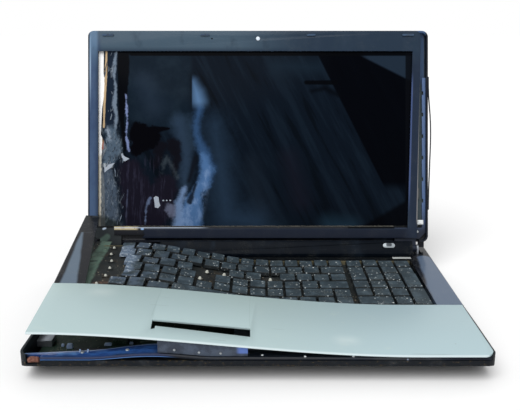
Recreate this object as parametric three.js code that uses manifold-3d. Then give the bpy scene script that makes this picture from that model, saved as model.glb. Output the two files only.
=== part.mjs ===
// Broken 15.6 inch laptop: torn-up left side, buckled keyboard, sprung bezel, cracked display.
// Millimetres, +Z up, +X to the right, +Y to the back, front edge of the base at y = 0.
import * as THREE from 'three';
import { mergeVertices } from 'three/addons/utils/BufferGeometryUtils.js';
import Module from 'manifold-3d';

const wasm = await Module();
wasm.setup();

// Overall sizes of the base
const WIDTH = 378;
const DEPTH = 260;
const DECK_Z = 24;
const FOOT_HEIGHT = 3;
const CORNER_RADIUS = 9;
const GAP = 0.3;

// Bottom case
const WALL = 2;
const FLOOR = 1.8;
const RIM_Z = 19.5;
const LIP_Z = 15;
const WEDGE_RUN = 30;
const REAR_CHAMFER = 6;
const BOSS_RADIUS = 3.5;

// Palm rest panel and the way the left side is lifted
const PALM_DEPTH = 96.8;
const PALM_THICK = 1.6;
const PALM_EDGE = 1.2;
const PALM_CORNER = 10.5;
const PALM_SLANT = 0.028;
const TORN_SHIFT = 2.6;
const LIFT_FRONT = 20;
const LIFT_REAR = 21.5;
const LIFT_END_INSET = 59;
const WING_PITCH = 0.185;

// Slot of the lost touchpad button with its hooked left end, and the touchpad behind it
const SLOT = [[-87, 32.8], [-86, 15.7], [-83, 17.3], [-83.1, 21.8], [-6.3, 16.8], [-6.4, 31.9]];
const TOUCHPAD_X = [-88, -8];
const TOUCHPAD_DEPTH = 35;
const TOUCHPAD_CLEARANCE = 1.8;
const BRACKET_X = [-79, -8];
const BRACKET_Y = [2.4, 13.5];
const SHEET = 1.2;

// Front trim, its ledge that widens towards the broken end, and the rusted corner
const TRIM_FRONT = 0.6;
const TRIM_DEPTH = 13;
const TRIM_BOW = 3.2;
const TRIM_BOW_X = -84;
const TRIM_BOW_HALF = 50;
const LEDGE_THICK = 1.2;
const LEDGE_BACK = [[-186, 8], [-79, 18.3], [-77, TRIM_DEPTH]];
const RUST_CORNER = { x: [6.3, 17], y: [0.3, 5.2], drop: 2.4, rise: 2 };

// Keyboard
const COLUMN = 17.3;
const ROW = 19.6;
const ROWS = 6;
const KEY_GAP = 1.6;
const KEY_HEIGHT = 3.2;
const KEY_TAPER = 1;
const KEY_TRAVEL = 2;
const KEYBOARD_INSET = 28.5;
const KEYBOARD_CLEARANCE = 1.2;
const MAIN_UNITS = 14.5;
const NUMPAD_GAP = 3;
const NUMPAD_COLUMNS = 4;
const PLATE_THICK = 1;
const PLATE_DROP = 6.7;
const PLATE_MARGIN = 10.5;
const PLATE_LIP = 3.6;
const PLATE_TAB = { width: 11, length: 14.9 };
const GUIDE_WIDTH = 6;
const BUCKLE = 21;
const BUCKLE_END = 20;
const BUCKLE_RUN = 160;

// Top case
const DECK_THICK = 2.4;
const WING_BACK_LEFT = 228;
const WING_TAPER = 0.5;
const FLANGE_WIDTH = 16;
const RIM_LEFT = [[1.5, 24.2], [12, 25.2], [33, 25], [41, 24.2], [58, 24.4], [PALM_DEPTH - 4.8, 21.5]];
const RIM_RIGHT = [[1.5, 23.5], [60, 23.4], [PALM_DEPTH, 22.8]];
const RIM_RIGHT_THICK = 1.2;
const RIM_ARC = 4.5;
const REAR_BREAK_X = -113;

// Hinge and lid
const LID_REAR_SETBACK = 25;
const LEAN = THREE.MathUtils.degToRad(16.1);
const LID_BOTTOM = 12;
const LID_TOP = 247;
const LID_BACK = 10.3;
const LID_RIM_FRONT = 2.1;
const LID_SKIN = 1.6;
const LID_CORNER = 7;
const LID_SKIRT = { pastBattery: 9.1, pastHinge: 3.2, side: 3, front: 7.3, foot: [7, 6] };
const SKIRT_STEP = 0.2;
const AXIS_UP = 5;
const AXIS_BACK = 5;
const PIN_RADIUS = 2.2;
const KNUCKLE_WALL = 1.7;
const HINGE_INSET = [13, 37];
const ARM_THICK = 1.6;
const RAIL_WIDTH = 4;
const RAIL_TOP = 195;

// Display
const BEZEL_THICK = 1.8;
const BEZEL_SIDE = 11;
const BEZEL_TOP = 23;
const BEZEL_FOOT = 16.6;
const BEZEL_SILL = 27.2;
const BEZEL_BREAK_X = -128.6;
const BEZEL_SPRUNG_TOP = 8.5;
const BEZEL_SPRUNG_FOOT = 12.7;
const GLASS_THICK = 1.2;
const TRAY_CLEARANCE = 0.5;
const WEBCAM_S = 237.8;
const WEBCAM_RADIUS = 2.5;

// Inner pieces
const BOARD_Z = 8;
const BOARD_THICK = 1.6;
const FAN_CENTRE = { inset: 42, y: 168 };
const FAN_SIZE = [50, 52];
const FAN_RADIUS = 21;
const FAN_BLADES = 13;
const SPINDLE_RADIUS = 1.2;
const DISK_SIZE = [70, 100, 9.5];
const DRIVE_SIZE = [126.8, 127, 9.5];
const DRIVE_FRONT = 60;
const DISC_WELL_RADIUS = 60;
const BATTERY_WIDTH = 204.8;
const BATTERY_DEPTH = 51.4;
const BATTERY_TOP = 16.8;
const COVER_SIZE = [70, 58];
const COVER_CENTRE = [-65, 91];

// Places that follow from the sizes above
const LEFT = -WIDTH / 2;
const RIGHT = WIDTH / 2;
const FLOOR_Z = FOOT_HEIGHT + FLOOR;
const LIFT_END_X = RIGHT - LIFT_END_INSET;
const KEYBOARD_LEFT = LEFT + KEYBOARD_INSET;
const KEYBOARD_FRONT = PALM_DEPTH + KEYBOARD_CLEARANCE;
const TOUCHPAD_BACK = PALM_DEPTH - FLANGE_WIDTH - TOUCHPAD_CLEARANCE;
const TOUCHPAD_Y = [TOUCHPAD_BACK - TOUCHPAD_DEPTH, TOUCHPAD_BACK];
const LID_Y = DEPTH - LID_REAR_SETBACK;
const AXIS_Y = LID_Y + AXIS_BACK * Math.cos(LEAN) + AXIS_UP * Math.sin(LEAN);
const AXIS_Z = DECK_Z - AXIS_BACK * Math.sin(LEAN) + AXIS_UP * Math.cos(LEAN);
const KNUCKLE_RADIUS = PIN_RADIUS + GAP + KNUCKLE_WALL;
const MAIN_RIGHT = KEYBOARD_LEFT + MAIN_UNITS * COLUMN;
const NUMPAD_LEFT = MAIN_RIGHT + NUMPAD_GAP;
const KEYBOARD_RIGHT = NUMPAD_LEFT + NUMPAD_COLUMNS * COLUMN;
const KEYBOARD_BACK = KEYBOARD_FRONT + ROWS * ROW;
const WELL_LEFT = KEYBOARD_LEFT - 3.5;
const WELL_RIGHT = KEYBOARD_RIGHT + 1.8;
const PLATE_Z = DECK_Z - PLATE_DROP;
const PLATE_TOP = PLATE_Z + PLATE_THICK;
const KEY_BOTTOM = PLATE_TOP + KEY_TRAVEL + GAP;
const GUIDE_TOP = KEY_BOTTOM + GAP;
const POCKET_TOP = GUIDE_TOP + KEY_TRAVEL + 0.2;
const PALM_UNDER = DECK_Z - PALM_THICK;
const TRIM_TOP = PALM_UNDER - GAP;
const TRIM_Z = RIM_Z + GAP;
const BOARD_TOP = BOARD_Z + BOARD_THICK;
const FAN_X = LEFT + FAN_CENTRE.inset;

// Lift of the torn-up side: the palm rest and wings, the keyboard and the front trim
const smooth = (t) => {
  const u = Math.min(Math.max(t, 0), 1);
  return u * u * (3 - 2 * u);
};
const palmLift = (x, y) => {
  const crest = LIFT_FRONT + (LIFT_REAR - LIFT_FRONT) * Math.min(y / PALM_DEPTH, 1);
  return crest * smooth((LIFT_END_X - x) / (LIFT_END_X - LEFT));
};
const wingLift = (x, y) => palmLift(x, y) + WING_PITCH * Math.max(y - PALM_DEPTH, 0);
const keyboardLift = (x) => BUCKLE * smooth((BUCKLE_END - x) / BUCKLE_RUN);
const trimLift = (x) => {
  const u = Math.min(Math.abs(x - TRIM_BOW_X) / TRIM_BOW_HALF, 1);
  return TRIM_BOW * (1 - u * u) * (1 - u * u);
};

// Geometry helpers
const box = (x, y, z, nx = 1, ny = 1) => {
  const g = new THREE.BoxGeometry(x[1] - x[0], y[1] - y[0], z[1] - z[0], nx, ny, 1);
  return g.translate((x[0] + x[1]) / 2, (y[0] + y[1]) / 2, (z[0] + z[1]) / 2);
};
const polygon = (points) => new THREE.Shape(points.map(([a, b]) => new THREE.Vector2(a, b)));
const rounded = (x, y, r) => {
  const shape = new THREE.Shape();
  shape.absarc(x[1] - r, y[0] + r, r, -Math.PI / 2, 0);
  shape.absarc(x[1] - r, y[1] - r, r, 0, Math.PI / 2);
  shape.absarc(x[0] + r, y[1] - r, r, Math.PI / 2, Math.PI);
  shape.absarc(x[0] + r, y[0] + r, r, Math.PI, Math.PI * 1.5);
  return shape;
};
const disc = (x, y, r) => {
  const shape = new THREE.Shape();
  shape.absarc(x, y, r, 0, Math.PI * 2);
  return shape;
};
const extrude = (shape, depth, steps = 1, curveSegments = 5) =>
  new THREE.ExtrudeGeometry(shape, { depth, steps, curveSegments, bevelEnabled: false });
const AXIS_X = new THREE.Vector3(1, 0, 0);
const AXIS_Y_VECTOR = new THREE.Vector3(0, 1, 0);
const AXIS_Z_VECTOR = new THREE.Vector3(0, 0, 1);
const ALONG_X = new THREE.Matrix4().makeBasis(AXIS_Y_VECTOR, AXIS_Z_VECTOR, AXIS_X);
const ALONG_Y = new THREE.Matrix4().makeBasis(AXIS_X, AXIS_Z_VECTOR, AXIS_Y_VECTOR.clone().negate());
const alongX = (shape, x, steps = 1, curve = 5) =>
  extrude(shape, x[1] - x[0], steps, curve).applyMatrix4(ALONG_X).translate(x[0], 0, 0);
const alongY = (shape, y, steps = 1, curve = 5) =>
  extrude(shape, y[1] - y[0], steps, curve).applyMatrix4(ALONG_Y).translate(0, y[1], 0);
const alongZ = (shape, z, curve = 5) => extrude(shape, z[1] - z[0], 1, curve).translate(0, 0, z[0]);
const reshape = (geometry, move) => {
  const position = geometry.attributes.position;
  for (let i = 0; i < position.count; i += 1) {
    const [x, y, z] = move(position.getX(i), position.getY(i), position.getZ(i));
    position.setXYZ(i, x, y, z);
  }
  return geometry;
};
const bend = (geometry, lift) => reshape(geometry, (x, y, z) => [x, y, z + lift(x, y)]);

// Solids for joins and cuts
const solid = (geometry) => {
  const bare = geometry.clone();
  bare.deleteAttribute('normal');
  bare.deleteAttribute('uv');
  const merged = mergeVertices(bare, 1e-4);
  return new wasm.Manifold(new wasm.Mesh({
    numProp: 3,
    vertProperties: new Float32Array(merged.attributes.position.array),
    triVerts: new Uint32Array(merged.index.array),
  }));
};
const asSolid = (piece) => (piece.isBufferGeometry ? solid(piece) : piece);
const join = (...pieces) => pieces.map(asSolid).reduce((a, b) => a.add(b));
const cut = (from, ...tools) => tools.map(asSolid)
  .reduce((rest, tool) => rest.subtract(tool), asSolid(from));
const common = (a, b) => join(a).intersect(join(b));
const toGeometry = (piece) => {
  if (piece.isBufferGeometry) return piece;
  const mesh = piece.getMesh();
  const geometry = new THREE.BufferGeometry();
  geometry.setAttribute('position', new THREE.BufferAttribute(new Float32Array(mesh.vertProperties), 3));
  geometry.setIndex(new THREE.BufferAttribute(new Uint32Array(mesh.triVerts), 1));
  return geometry;
};

// Finishes
const FINISH = {
  gloss_black: [0x12161c, 0.2, 0],
  matt_black: [0x17181a, 0.6, 0],
  silver: [0xacc1c1, 0.4, 0.3],
  steel: [0x8f97a0, 0.35, 0.9],
  plate: [0x5a7364, 0.6, 0.4],
  board: [0x2f6b4a, 0.6, 0],
  copper: [0xb06a3c, 0.4, 0.9],
  rust: [0x7a4326, 0.9, 0.1],
  white: [0xe6e8ea, 0.6, 0],
  screen: [0x141e2a, 0.15, 0],
  rubber: [0x0d0d0e, 0.9, 0],
  tan: [0xc9b98a, 0.7, 0],
  lens: [0xd8e4f0, 0.1, 0],
};
const finish = (name) => {
  const [color, roughness, metalness] = FINISH[name];
  return new THREE.MeshStandardMaterial({ color, roughness, metalness });
};

const laptop = new THREE.Group();
const lid = new THREE.Group();
lid.position.set(0, LID_Y, DECK_Z);
lid.rotation.x = -LEAN;
laptop.add(lid);
const addTo = (group, name, piece, look) => {
  const mesh = new THREE.Mesh(toGeometry(piece), finish(look));
  mesh.name = name;
  group.add(mesh);
  return mesh;
};
const plan = (inset, z) => alongZ(
  rounded([LEFT + inset, RIGHT - inset], [inset, DEPTH - inset], CORNER_RADIUS - inset), z);

// Wall windows: ports on the left, the disc drive and one port on the right
const PORT_LENGTH = 14.3;
const PORT_PROUD = 0.2;
const PORTS = {
  usb_port_left: { side: LEFT, y: [42, 55.2], z: [BOARD_TOP + GAP, BOARD_TOP + GAP + 5.8] },
  video_port: { side: LEFT, y: [76, 91.2], z: [BOARD_TOP + GAP, BOARD_TOP + GAP + 6] },
  dc_jack: { side: LEFT, y: [207, 216], z: [BOARD_TOP + GAP, BOARD_TOP + GAP + 7.4] },
  usb_port_right: { side: RIGHT, y: [34, 47.2], z: [8, 13.8] },
};
const portX = ({ side }, proud, length) => (side < 0
  ? [side + proud, side + proud + length]
  : [side - proud - length, side - proud]);
const portWindow = (port) => {
  const x = port.side < 0 ? [LEFT - 1, LEFT + WALL + 1] : [RIGHT - WALL - 1, RIGHT + 1];
  return box(x, [port.y[0] - GAP, port.y[1] + GAP], [port.z[0] - GAP, port.z[1] + GAP]);
};
const DRIVE_X = [RIGHT - WALL - 2.2 - DRIVE_SIZE[0], RIGHT - WALL - 2.2];
const DRIVE_Y = [DRIVE_FRONT, DRIVE_FRONT + DRIVE_SIZE[1]];
const DRIVE_Z = [FLOOR_Z + GAP, FLOOR_Z + GAP + DRIVE_SIZE[2]];
const FACEPLATE_Z = [DRIVE_Z[0] + 0.2, DRIVE_Z[1] + 0.7];
const BATTERY_X = [-BATTERY_WIDTH / 2, BATTERY_WIDTH / 2];
const BATTERY_FRONT = DEPTH - BATTERY_DEPTH;
const LATCH_KNOB = [8, 4];
const LATCH_HEAD = [12, 8];
const LATCH_TRAVEL = 5;
const LATCH_X = 40;
const LATCH_Y = BATTERY_FRONT - 9;
const HINGE_X = [RIGHT - HINGE_INSET[1], RIGHT - HINGE_INSET[0]];
const BRACKET_Z = 17;
const BRACKET_THICK = 1.5;
const HINGE_BOSSES = [[HINGE_X[0] + 2, AXIS_Y + 6], [HINGE_X[1] - 5, AXIS_Y - 9]];
const BOARD_BOSSES = [[LEFT + 19, 45], [-40, 45], [-40, 128], [LEFT + 19, 128], [LEFT + 77, 212]];

function cylinderZ(x, y, r, z, sides = 10) {
  const g = new THREE.CylinderGeometry(r, r, z[1] - z[0], sides);
  return g.rotateX(Math.PI / 2).translate(x, y, (z[0] + z[1]) / 2);
}

function bottomCase() {
  const outerSide = polygon([[0, LIP_Z], [WEDGE_RUN, FOOT_HEIGHT], [DEPTH - REAR_CHAMFER, FOOT_HEIGHT],
    [DEPTH, FOOT_HEIGHT + REAR_CHAMFER], [DEPTH, RIM_Z], [0, RIM_Z]]);
  const innerSide = polygon([[WALL, LIP_Z + FLOOR], [WEDGE_RUN, FLOOR_Z], [DEPTH - REAR_CHAMFER, FLOOR_Z],
    [DEPTH - WALL, FLOOR_Z + REAR_CHAMFER - WALL], [DEPTH - WALL, RIM_Z + 1], [WALL, RIM_Z + 1]]);
  const outer = common(alongX(outerSide, [LEFT, RIGHT]), plan(0, [0, RIM_Z + 2]));
  const inner = common(alongX(innerSide, [LEFT + WALL, RIGHT - WALL]), plan(WALL, [0, RIM_Z + 2]));
  const bosses = [];
  for (const [x, y] of BOARD_BOSSES) {
    bosses.push(cylinderZ(x, y, BOSS_RADIUS, [FLOOR_Z - 1, BOARD_Z - GAP]));
  }
  for (const [x, y] of HINGE_BOSSES) {
    bosses.push(cylinderZ(x, y, BOSS_RADIUS, [FLOOR_Z - 1, BRACKET_Z - GAP]));
    bosses.push(cylinderZ(-x, y, BOSS_RADIUS, [FLOOR_Z - 1, BRACKET_Z - GAP]));
  }
  const usb = PORTS.usb_port_right;
  bosses.push(box([RIGHT - WALL - 13, RIGHT - WALL + 0.5], usb.y, [FLOOR_Z - 1, usb.z[0] - GAP]));
  for (const [side, line, thick] of [[LEFT, RIM_LEFT, WALL], [RIGHT, RIM_RIGHT, RIM_RIGHT_THICK]]) {
    const below = RIM_Z - 1;
    const outline = polygon([[line[0][0], below], [line[line.length - 1][0], below],
      ...line.slice().reverse()]);
    const x = side < 0 ? [LEFT - 1, LEFT + RUST_CORNER.x[0] - 2 * GAP] : [RIGHT - RIM_ARC, RIGHT + 1];
    const ring = cut(plan(0, [below, DECK_Z + 2]), plan(thick, [0, DECK_Z + 3]));
    bosses.push(common(alongX(outline, x), ring));
  }
  const cuts = Object.values(PORTS).map(portWindow);
  cuts.push(box([LEFT + RUST_CORNER.x[0] - GAP, LEFT + RUST_CORNER.x[1] + GAP], [-1, WALL + GAP],
    [RIM_Z - RUST_CORNER.drop - GAP, RIM_Z + 1]));
  cuts.push(box([RIGHT - WALL - 1, RIGHT + 1], [DRIVE_Y[0] - GAP, DRIVE_Y[1] + GAP],
    [FACEPLATE_Z[0] - GAP, FACEPLATE_Z[1] + GAP]));
  cuts.push(box([BATTERY_X[0] - GAP, BATTERY_X[1] + GAP], [BATTERY_FRONT - GAP, DEPTH + 1],
    [0, RIM_Z + 1]));
  const [coverX, coverY] = COVER_CENTRE;
  cuts.push(box([coverX - COVER_SIZE[0] / 2 - GAP, coverX + COVER_SIZE[0] / 2 + GAP],
    [coverY - COVER_SIZE[1] / 2 - GAP, coverY + COVER_SIZE[1] / 2 + GAP], [0, FLOOR_Z + 1]));
  cuts.push(box([LATCH_X - LATCH_KNOB[0] / 2 - GAP, LATCH_X + LATCH_KNOB[0] / 2 + LATCH_TRAVEL + GAP],
    [LATCH_Y - LATCH_KNOB[1] / 2 - GAP, LATCH_Y + LATCH_KNOB[1] / 2 + GAP], [0, FLOOR_Z + 1]));
  const ventPitch = 5.4;
  for (let i = 0; i < 9; i += 1) {
    const y = FAN_CENTRE.y - 4 * ventPitch + i * ventPitch;
    cuts.push(box([LEFT - 1, LEFT + WALL + 1], [y - 1.5, y + 1.5], [FLOOR_Z + 1, BOARD_TOP + 3]));
  }
  for (let i = 0; i < 6; i += 1) {
    const y = FAN_CENTRE.y - 15 + i * 6;
    cuts.push(box([FAN_X - 16, FAN_X + 16], [y - 1.3, y + 1.3], [0, FLOOR_Z + 1]));
  }
  return cut(join(cut(outer, inner), ...bosses), ...cuts);
}

function frontTrim() {
  const section = polygon([[TRIM_FRONT, TRIM_Z], [TRIM_DEPTH, TRIM_Z], [TRIM_DEPTH, TRIM_TOP - LEDGE_THICK],
    [LEDGE_BACK[1][1] + 1, TRIM_TOP - LEDGE_THICK], [LEDGE_BACK[1][1] + 1, TRIM_TOP],
    [TRIM_FRONT + 1, TRIM_TOP], [TRIM_FRONT, TRIM_TOP - 1]]);
  const bar = bend(alongX(section, [LEFT, RIGHT], 34), trimLift);
  const outline = polygon([[LEFT, -1], [RIGHT, -1], [RIGHT, TRIM_DEPTH], ...LEDGE_BACK.slice().reverse()]);
  const cornerRoom = box([LEFT - 1, LEFT + RUST_CORNER.x[1] + GAP], [-1, RUST_CORNER.y[1] + GAP],
    [0, DECK_Z + 9]);
  const inside = common(alongZ(outline, [0, DECK_Z + 9]), plan(GAP, [0, DECK_Z + 9]));
  const rims = cut(join(
    box([LEFT - 1, LEFT + CORNER_RADIUS], [-1, 2 * TRIM_DEPTH], [0, DECK_Z + 9]),
    box([RIGHT - RIM_ARC - GAP, RIGHT + 1], [-1, 2 * TRIM_DEPTH], [0, DECK_Z + 9])),
  plan(WALL + GAP, [-1, DECK_Z + 10]));
  return cut(common(bar, inside), cornerRoom, rims);
}

function cornerBracket() {
  const { x: [x0, x1], y: [y0, y1], drop, rise } = RUST_CORNER;
  const x = [LEFT + x0, LEFT + x1];
  const top = TRIM_Z + rise;
  const face = box(x, [y0, y0 + 1.6], [RIM_Z - drop, top]);
  const foot = box(x, [y0, y1], [TRIM_Z, top]);
  return common(join(face, foot), plan(GAP, [0, DECK_Z + 9]));
}

function palmRest() {
  const section = polygon([[0.4, PALM_UNDER], [PALM_DEPTH, PALM_UNDER], [PALM_DEPTH, DECK_Z],
    [PALM_EDGE, DECK_Z], [0, DECK_Z - PALM_EDGE / 2], [0, PALM_UNDER + 0.4]]);
  const x = [LEFT, RIGHT - RIM_RIGHT_THICK - GAP];
  const flat = alongX(section, x, 34);
  const panel = reshape(flat, (px, y, z) => {
    const torn = (TORN_SHIFT - PALM_SLANT * LEFT * (1 - y / PALM_DEPTH)) * Math.min(px / LEFT, 1);
    return [px < 0 ? px + torn : px, y, z + palmLift(px, y)];
  });
  const corner = new THREE.Shape();
  const r = PALM_CORNER;
  corner.moveTo(x[1] - r, -1);
  corner.lineTo(x[1] + 1, -1);
  corner.lineTo(x[1] + 1, r);
  corner.lineTo(x[1], r);
  corner.absarc(x[1] - r, r, r, 0, -Math.PI / 2, true);
  return cut(panel, alongZ(polygon(SLOT), [DECK_Z - 6, DECK_Z + 40]), alongZ(corner, [0, DECK_Z + 40]));
}

function touchpadBoard() {
  const z = [PALM_UNDER - GAP - SHEET, PALM_UNDER - GAP];
  return bend(box(TOUCHPAD_X, TOUCHPAD_Y, z, 10, 1), palmLift);
}

function touchpadBracket() {
  const top = PALM_UNDER - GAP;
  const plate = bend(box(BRACKET_X, BRACKET_Y, [top - SHEET, top], 10, 1), palmLift);
  const front = BRACKET_Y[0] - 0.4;
  const flange = box(BRACKET_X, [front, front + SHEET], [top - SHEET, top], 10, 1);
  const hung = reshape(flange, (x, y, z) => [x, y,
    z > top - SHEET / 2 ? top + palmLift(x, y) - 0.1 : TRIM_TOP + trimLift(x) + 0.5]);
  return join(plate, hung);
}

function topCase() {
  const skirt = RIM_Z + GAP;
  const under = DECK_Z - DECK_THICK;
  const wingFront = PALM_DEPTH + GAP;
  const rightSection = polygon([[RIGHT, skirt], [RIGHT, DECK_Z - 1], [RIGHT - 1, DECK_Z],
    [WELL_RIGHT, DECK_Z], [WELL_RIGHT, under], [RIGHT - WALL, under], [RIGHT - WALL, skirt]]);
  const rightWing = alongY(rightSection, [wingFront, DEPTH - 0.1]);
  const ledgeTop = PLATE_Z - GAP;
  const ledgeSection = polygon([[WELL_RIGHT, DECK_Z - 0.5], [WELL_RIGHT, ledgeTop],
    [KEYBOARD_RIGHT - 6, ledgeTop], [KEYBOARD_RIGHT - 6, ledgeTop - SHEET],
    [WELL_RIGHT + 1.5, ledgeTop - SHEET], [WELL_RIGHT + 1.5, DECK_Z - 0.5]]);
  const ledge = alongY(ledgeSection, [wingFront, KEYBOARD_BACK]);
  const leftSection = polygon([[LEFT, skirt + 1], [LEFT, DECK_Z - 1], [LEFT + 1, DECK_Z],
    [WELL_LEFT + 4, DECK_Z], [WELL_LEFT + 4, under], [LEFT + WALL, under], [LEFT + WALL, skirt + 1]]);
  const length = WING_BACK_LEFT - wingFront;
  const leftWing = reshape(alongY(leftSection, [wingFront, WING_BACK_LEFT], 8), (x, y, z) => {
    const narrow = 1 - WING_TAPER * (y - wingFront) / length;
    return [LEFT + TORN_SHIFT + (x - LEFT) * narrow, y, z + wingLift(x, y)];
  });
  const flangeTop = PALM_UNDER - GAP;
  const flange = bend(box([LEFT + 3, RIGHT - 3], [PALM_DEPTH - FLANGE_WIDTH, PALM_DEPTH],
    [flangeTop - DECK_THICK, flangeTop], 34, 1), palmLift);
  const rootWidth = WELL_LEFT - LEFT;
  const leftRoot = bend(box([LEFT + 3, LEFT + rootWidth], [PALM_DEPTH - 4, wingFront + 4],
    [flangeTop - DECK_THICK, flangeTop], 2, 2), palmLift);
  const rightRoot = box([WELL_RIGHT + 0.5, RIGHT - 3], [PALM_DEPTH - 4, wingFront + 4],
    [flangeTop - DECK_THICK, flangeTop]);
  const strip = polygon([[REAR_BREAK_X, KEYBOARD_BACK + 1], [RIGHT - 3, KEYBOARD_BACK + 1],
    [RIGHT - 3, DEPTH - 0.1], [REAR_BREAK_X + 9, DEPTH - 0.1], [REAR_BREAK_X + 3, DEPTH - 14],
    [REAR_BREAK_X + 11, DEPTH - 20], [REAR_BREAK_X + 5, KEYBOARD_BACK + 9]]);
  const rearStrip = alongZ(strip, [under, DECK_Z]);
  const rearSkirt = box([REAR_BREAK_X + 12, RIGHT - 3], [DEPTH - WALL, DEPTH - 0.1], [skirt, under + 1]);
  const hingeWell = box([HINGE_X[0] - 4, HINGE_X[1] + 5], [AXIS_Y - 9, AXIS_Y + 9], [0, DECK_Z + 1]);
  const frame = join(rightWing, ledge, rearStrip, rearSkirt, rightRoot, flange, leftRoot, leftWing);
  const rounding = plan(0, [0, DECK_Z + 60]);
  return cut(common(frame, rounding), hingeWell);
}

// Ridge in front of the lid, with the power button on its front slope
const RIDGE_FRONT = KEYBOARD_BACK + 5.5;
const RIDGE_BACK = LID_Y - 3;
const RIDGE_Z = DECK_Z + GAP;
const RIDGE_RISE = 15.5;
const RIDGE_TOP_WIDTH = 3.2;
const BUTTON_X = 143;
const BUTTON_SIZE = [13, 5, 3.6];
const BUTTON_PROUD = 0.6;
const SLOPE_RUN = RIDGE_BACK - RIDGE_TOP_WIDTH - RIDGE_FRONT;
const SLOPE_START = 4;
const BUTTON_UP = 0.66;
const SLOPE = Math.atan2(RIDGE_RISE - SLOPE_START, SLOPE_RUN);
const BUTTON_Y = RIDGE_FRONT + SLOPE_RUN * BUTTON_UP;
const BUTTON_Z = RIDGE_Z + SLOPE_START + (RIDGE_RISE - SLOPE_START) * BUTTON_UP;
const onSlope = (geometry) => geometry.rotateX(SLOPE).translate(BUTTON_X, BUTTON_Y, BUTTON_Z);

function hingeCover() {
  const ridgeTop = RIDGE_Z + RIDGE_RISE;
  const section = polygon([[RIDGE_FRONT, RIDGE_Z], [RIDGE_BACK, RIDGE_Z], [RIDGE_BACK, ridgeTop - 2],
    [RIDGE_BACK - 1.5, ridgeTop], [RIDGE_FRONT + SLOPE_RUN, ridgeTop],
    [RIDGE_FRONT, RIDGE_Z + SLOPE_START]]);
  const ridge = alongX(section, [REAR_BREAK_X, RIGHT - 20]);
  const breakLine = polygon([[REAR_BREAK_X - 5, RIDGE_FRONT - 2], [REAR_BREAK_X + 6, RIDGE_FRONT - 2],
    [REAR_BREAK_X + 1.5, RIDGE_FRONT + 4], [REAR_BREAK_X + 7, RIDGE_FRONT + 7],
    [REAR_BREAK_X + 3, RIDGE_BACK + 2], [REAR_BREAK_X - 5, RIDGE_BACK + 2]]);
  const [w, d, h] = BUTTON_SIZE;
  const pocket = onSlope(box([-w / 2 - GAP, w / 2 + GAP], [-d / 2 - GAP, d / 2 + GAP],
    [BUTTON_PROUD - h - 1.2, 6]));
  return cut(ridge, alongZ(breakLine, [0, DECK_Z + 40]), pocket);
}

function powerButton() {
  const [w, d, h] = BUTTON_SIZE;
  const outline = rounded([-w / 2, w / 2], [-d / 2, d / 2], d / 2 - 0.1);
  return onSlope(alongZ(outline, [BUTTON_PROUD - h, BUTTON_PROUD], 2));
}

// Keyboard: rows of key widths in units, front row first, and the keys that are lost
const MAIN_ROWS = [
  [1.25, 1, 1, 1.25, 5, 1, 1, 1, 1, 1],
  [1.75, ...Array(10).fill(1), 1.75, 1],
  [1.75, ...Array(11).fill(1), 1.75],
  [1.5, ...Array(12).fill(1), 1],
  [...Array(13).fill(1), 1.5],
  Array(16).fill(MAIN_UNITS / 16),
];
const LOST_KEYS = [[0, 0], [1, 0], [2, 0], [3, 0], [4, 0], [5, 0], [2, 5], [3, 5], [3, 6],
  [3, 9]];
const isLost = (row, index) => LOST_KEYS.some(([r, i]) => r === row && i === index);
const NUMPAD_KEYS = [
  ['key_0', 0, 0, 2, 1], ['key_point', 2, 0, 1, 1], ['key_enter', 3, 0, 1, 2],
  ['key_1', 0, 1, 1, 1], ['key_2', 1, 1, 1, 1], ['key_3', 2, 1, 1, 1],
  ['key_4', 0, 2, 1, 1], ['key_5', 1, 2, 1, 1], ['key_6', 2, 2, 1, 1], ['key_plus', 3, 2, 1, 2],
  ['key_7', 0, 3, 1, 1], ['key_8', 1, 3, 1, 1], ['key_9', 2, 3, 1, 1],
];
const numpadCell = ([, column, row, wide, deep]) => ({
  x: NUMPAD_LEFT + (column + wide / 2) * COLUMN,
  y: KEYBOARD_FRONT + (row + deep / 2) * ROW,
  w: wide * COLUMN - KEY_GAP,
  d: deep * ROW - KEY_GAP,
});
const keyCap = (w, d) => reshape(box([-w / 2, w / 2], [-d / 2, d / 2], [0, KEY_HEIGHT]), (x, y, z) => (
  z > 0 ? [x - Math.sign(x) * KEY_TAPER, y - Math.sign(y) * KEY_TAPER, z] : [x, y, z]));
const wobble = (n) => Math.sin(n * 12.9898) * Math.cos(n * 4.1414);

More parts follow.
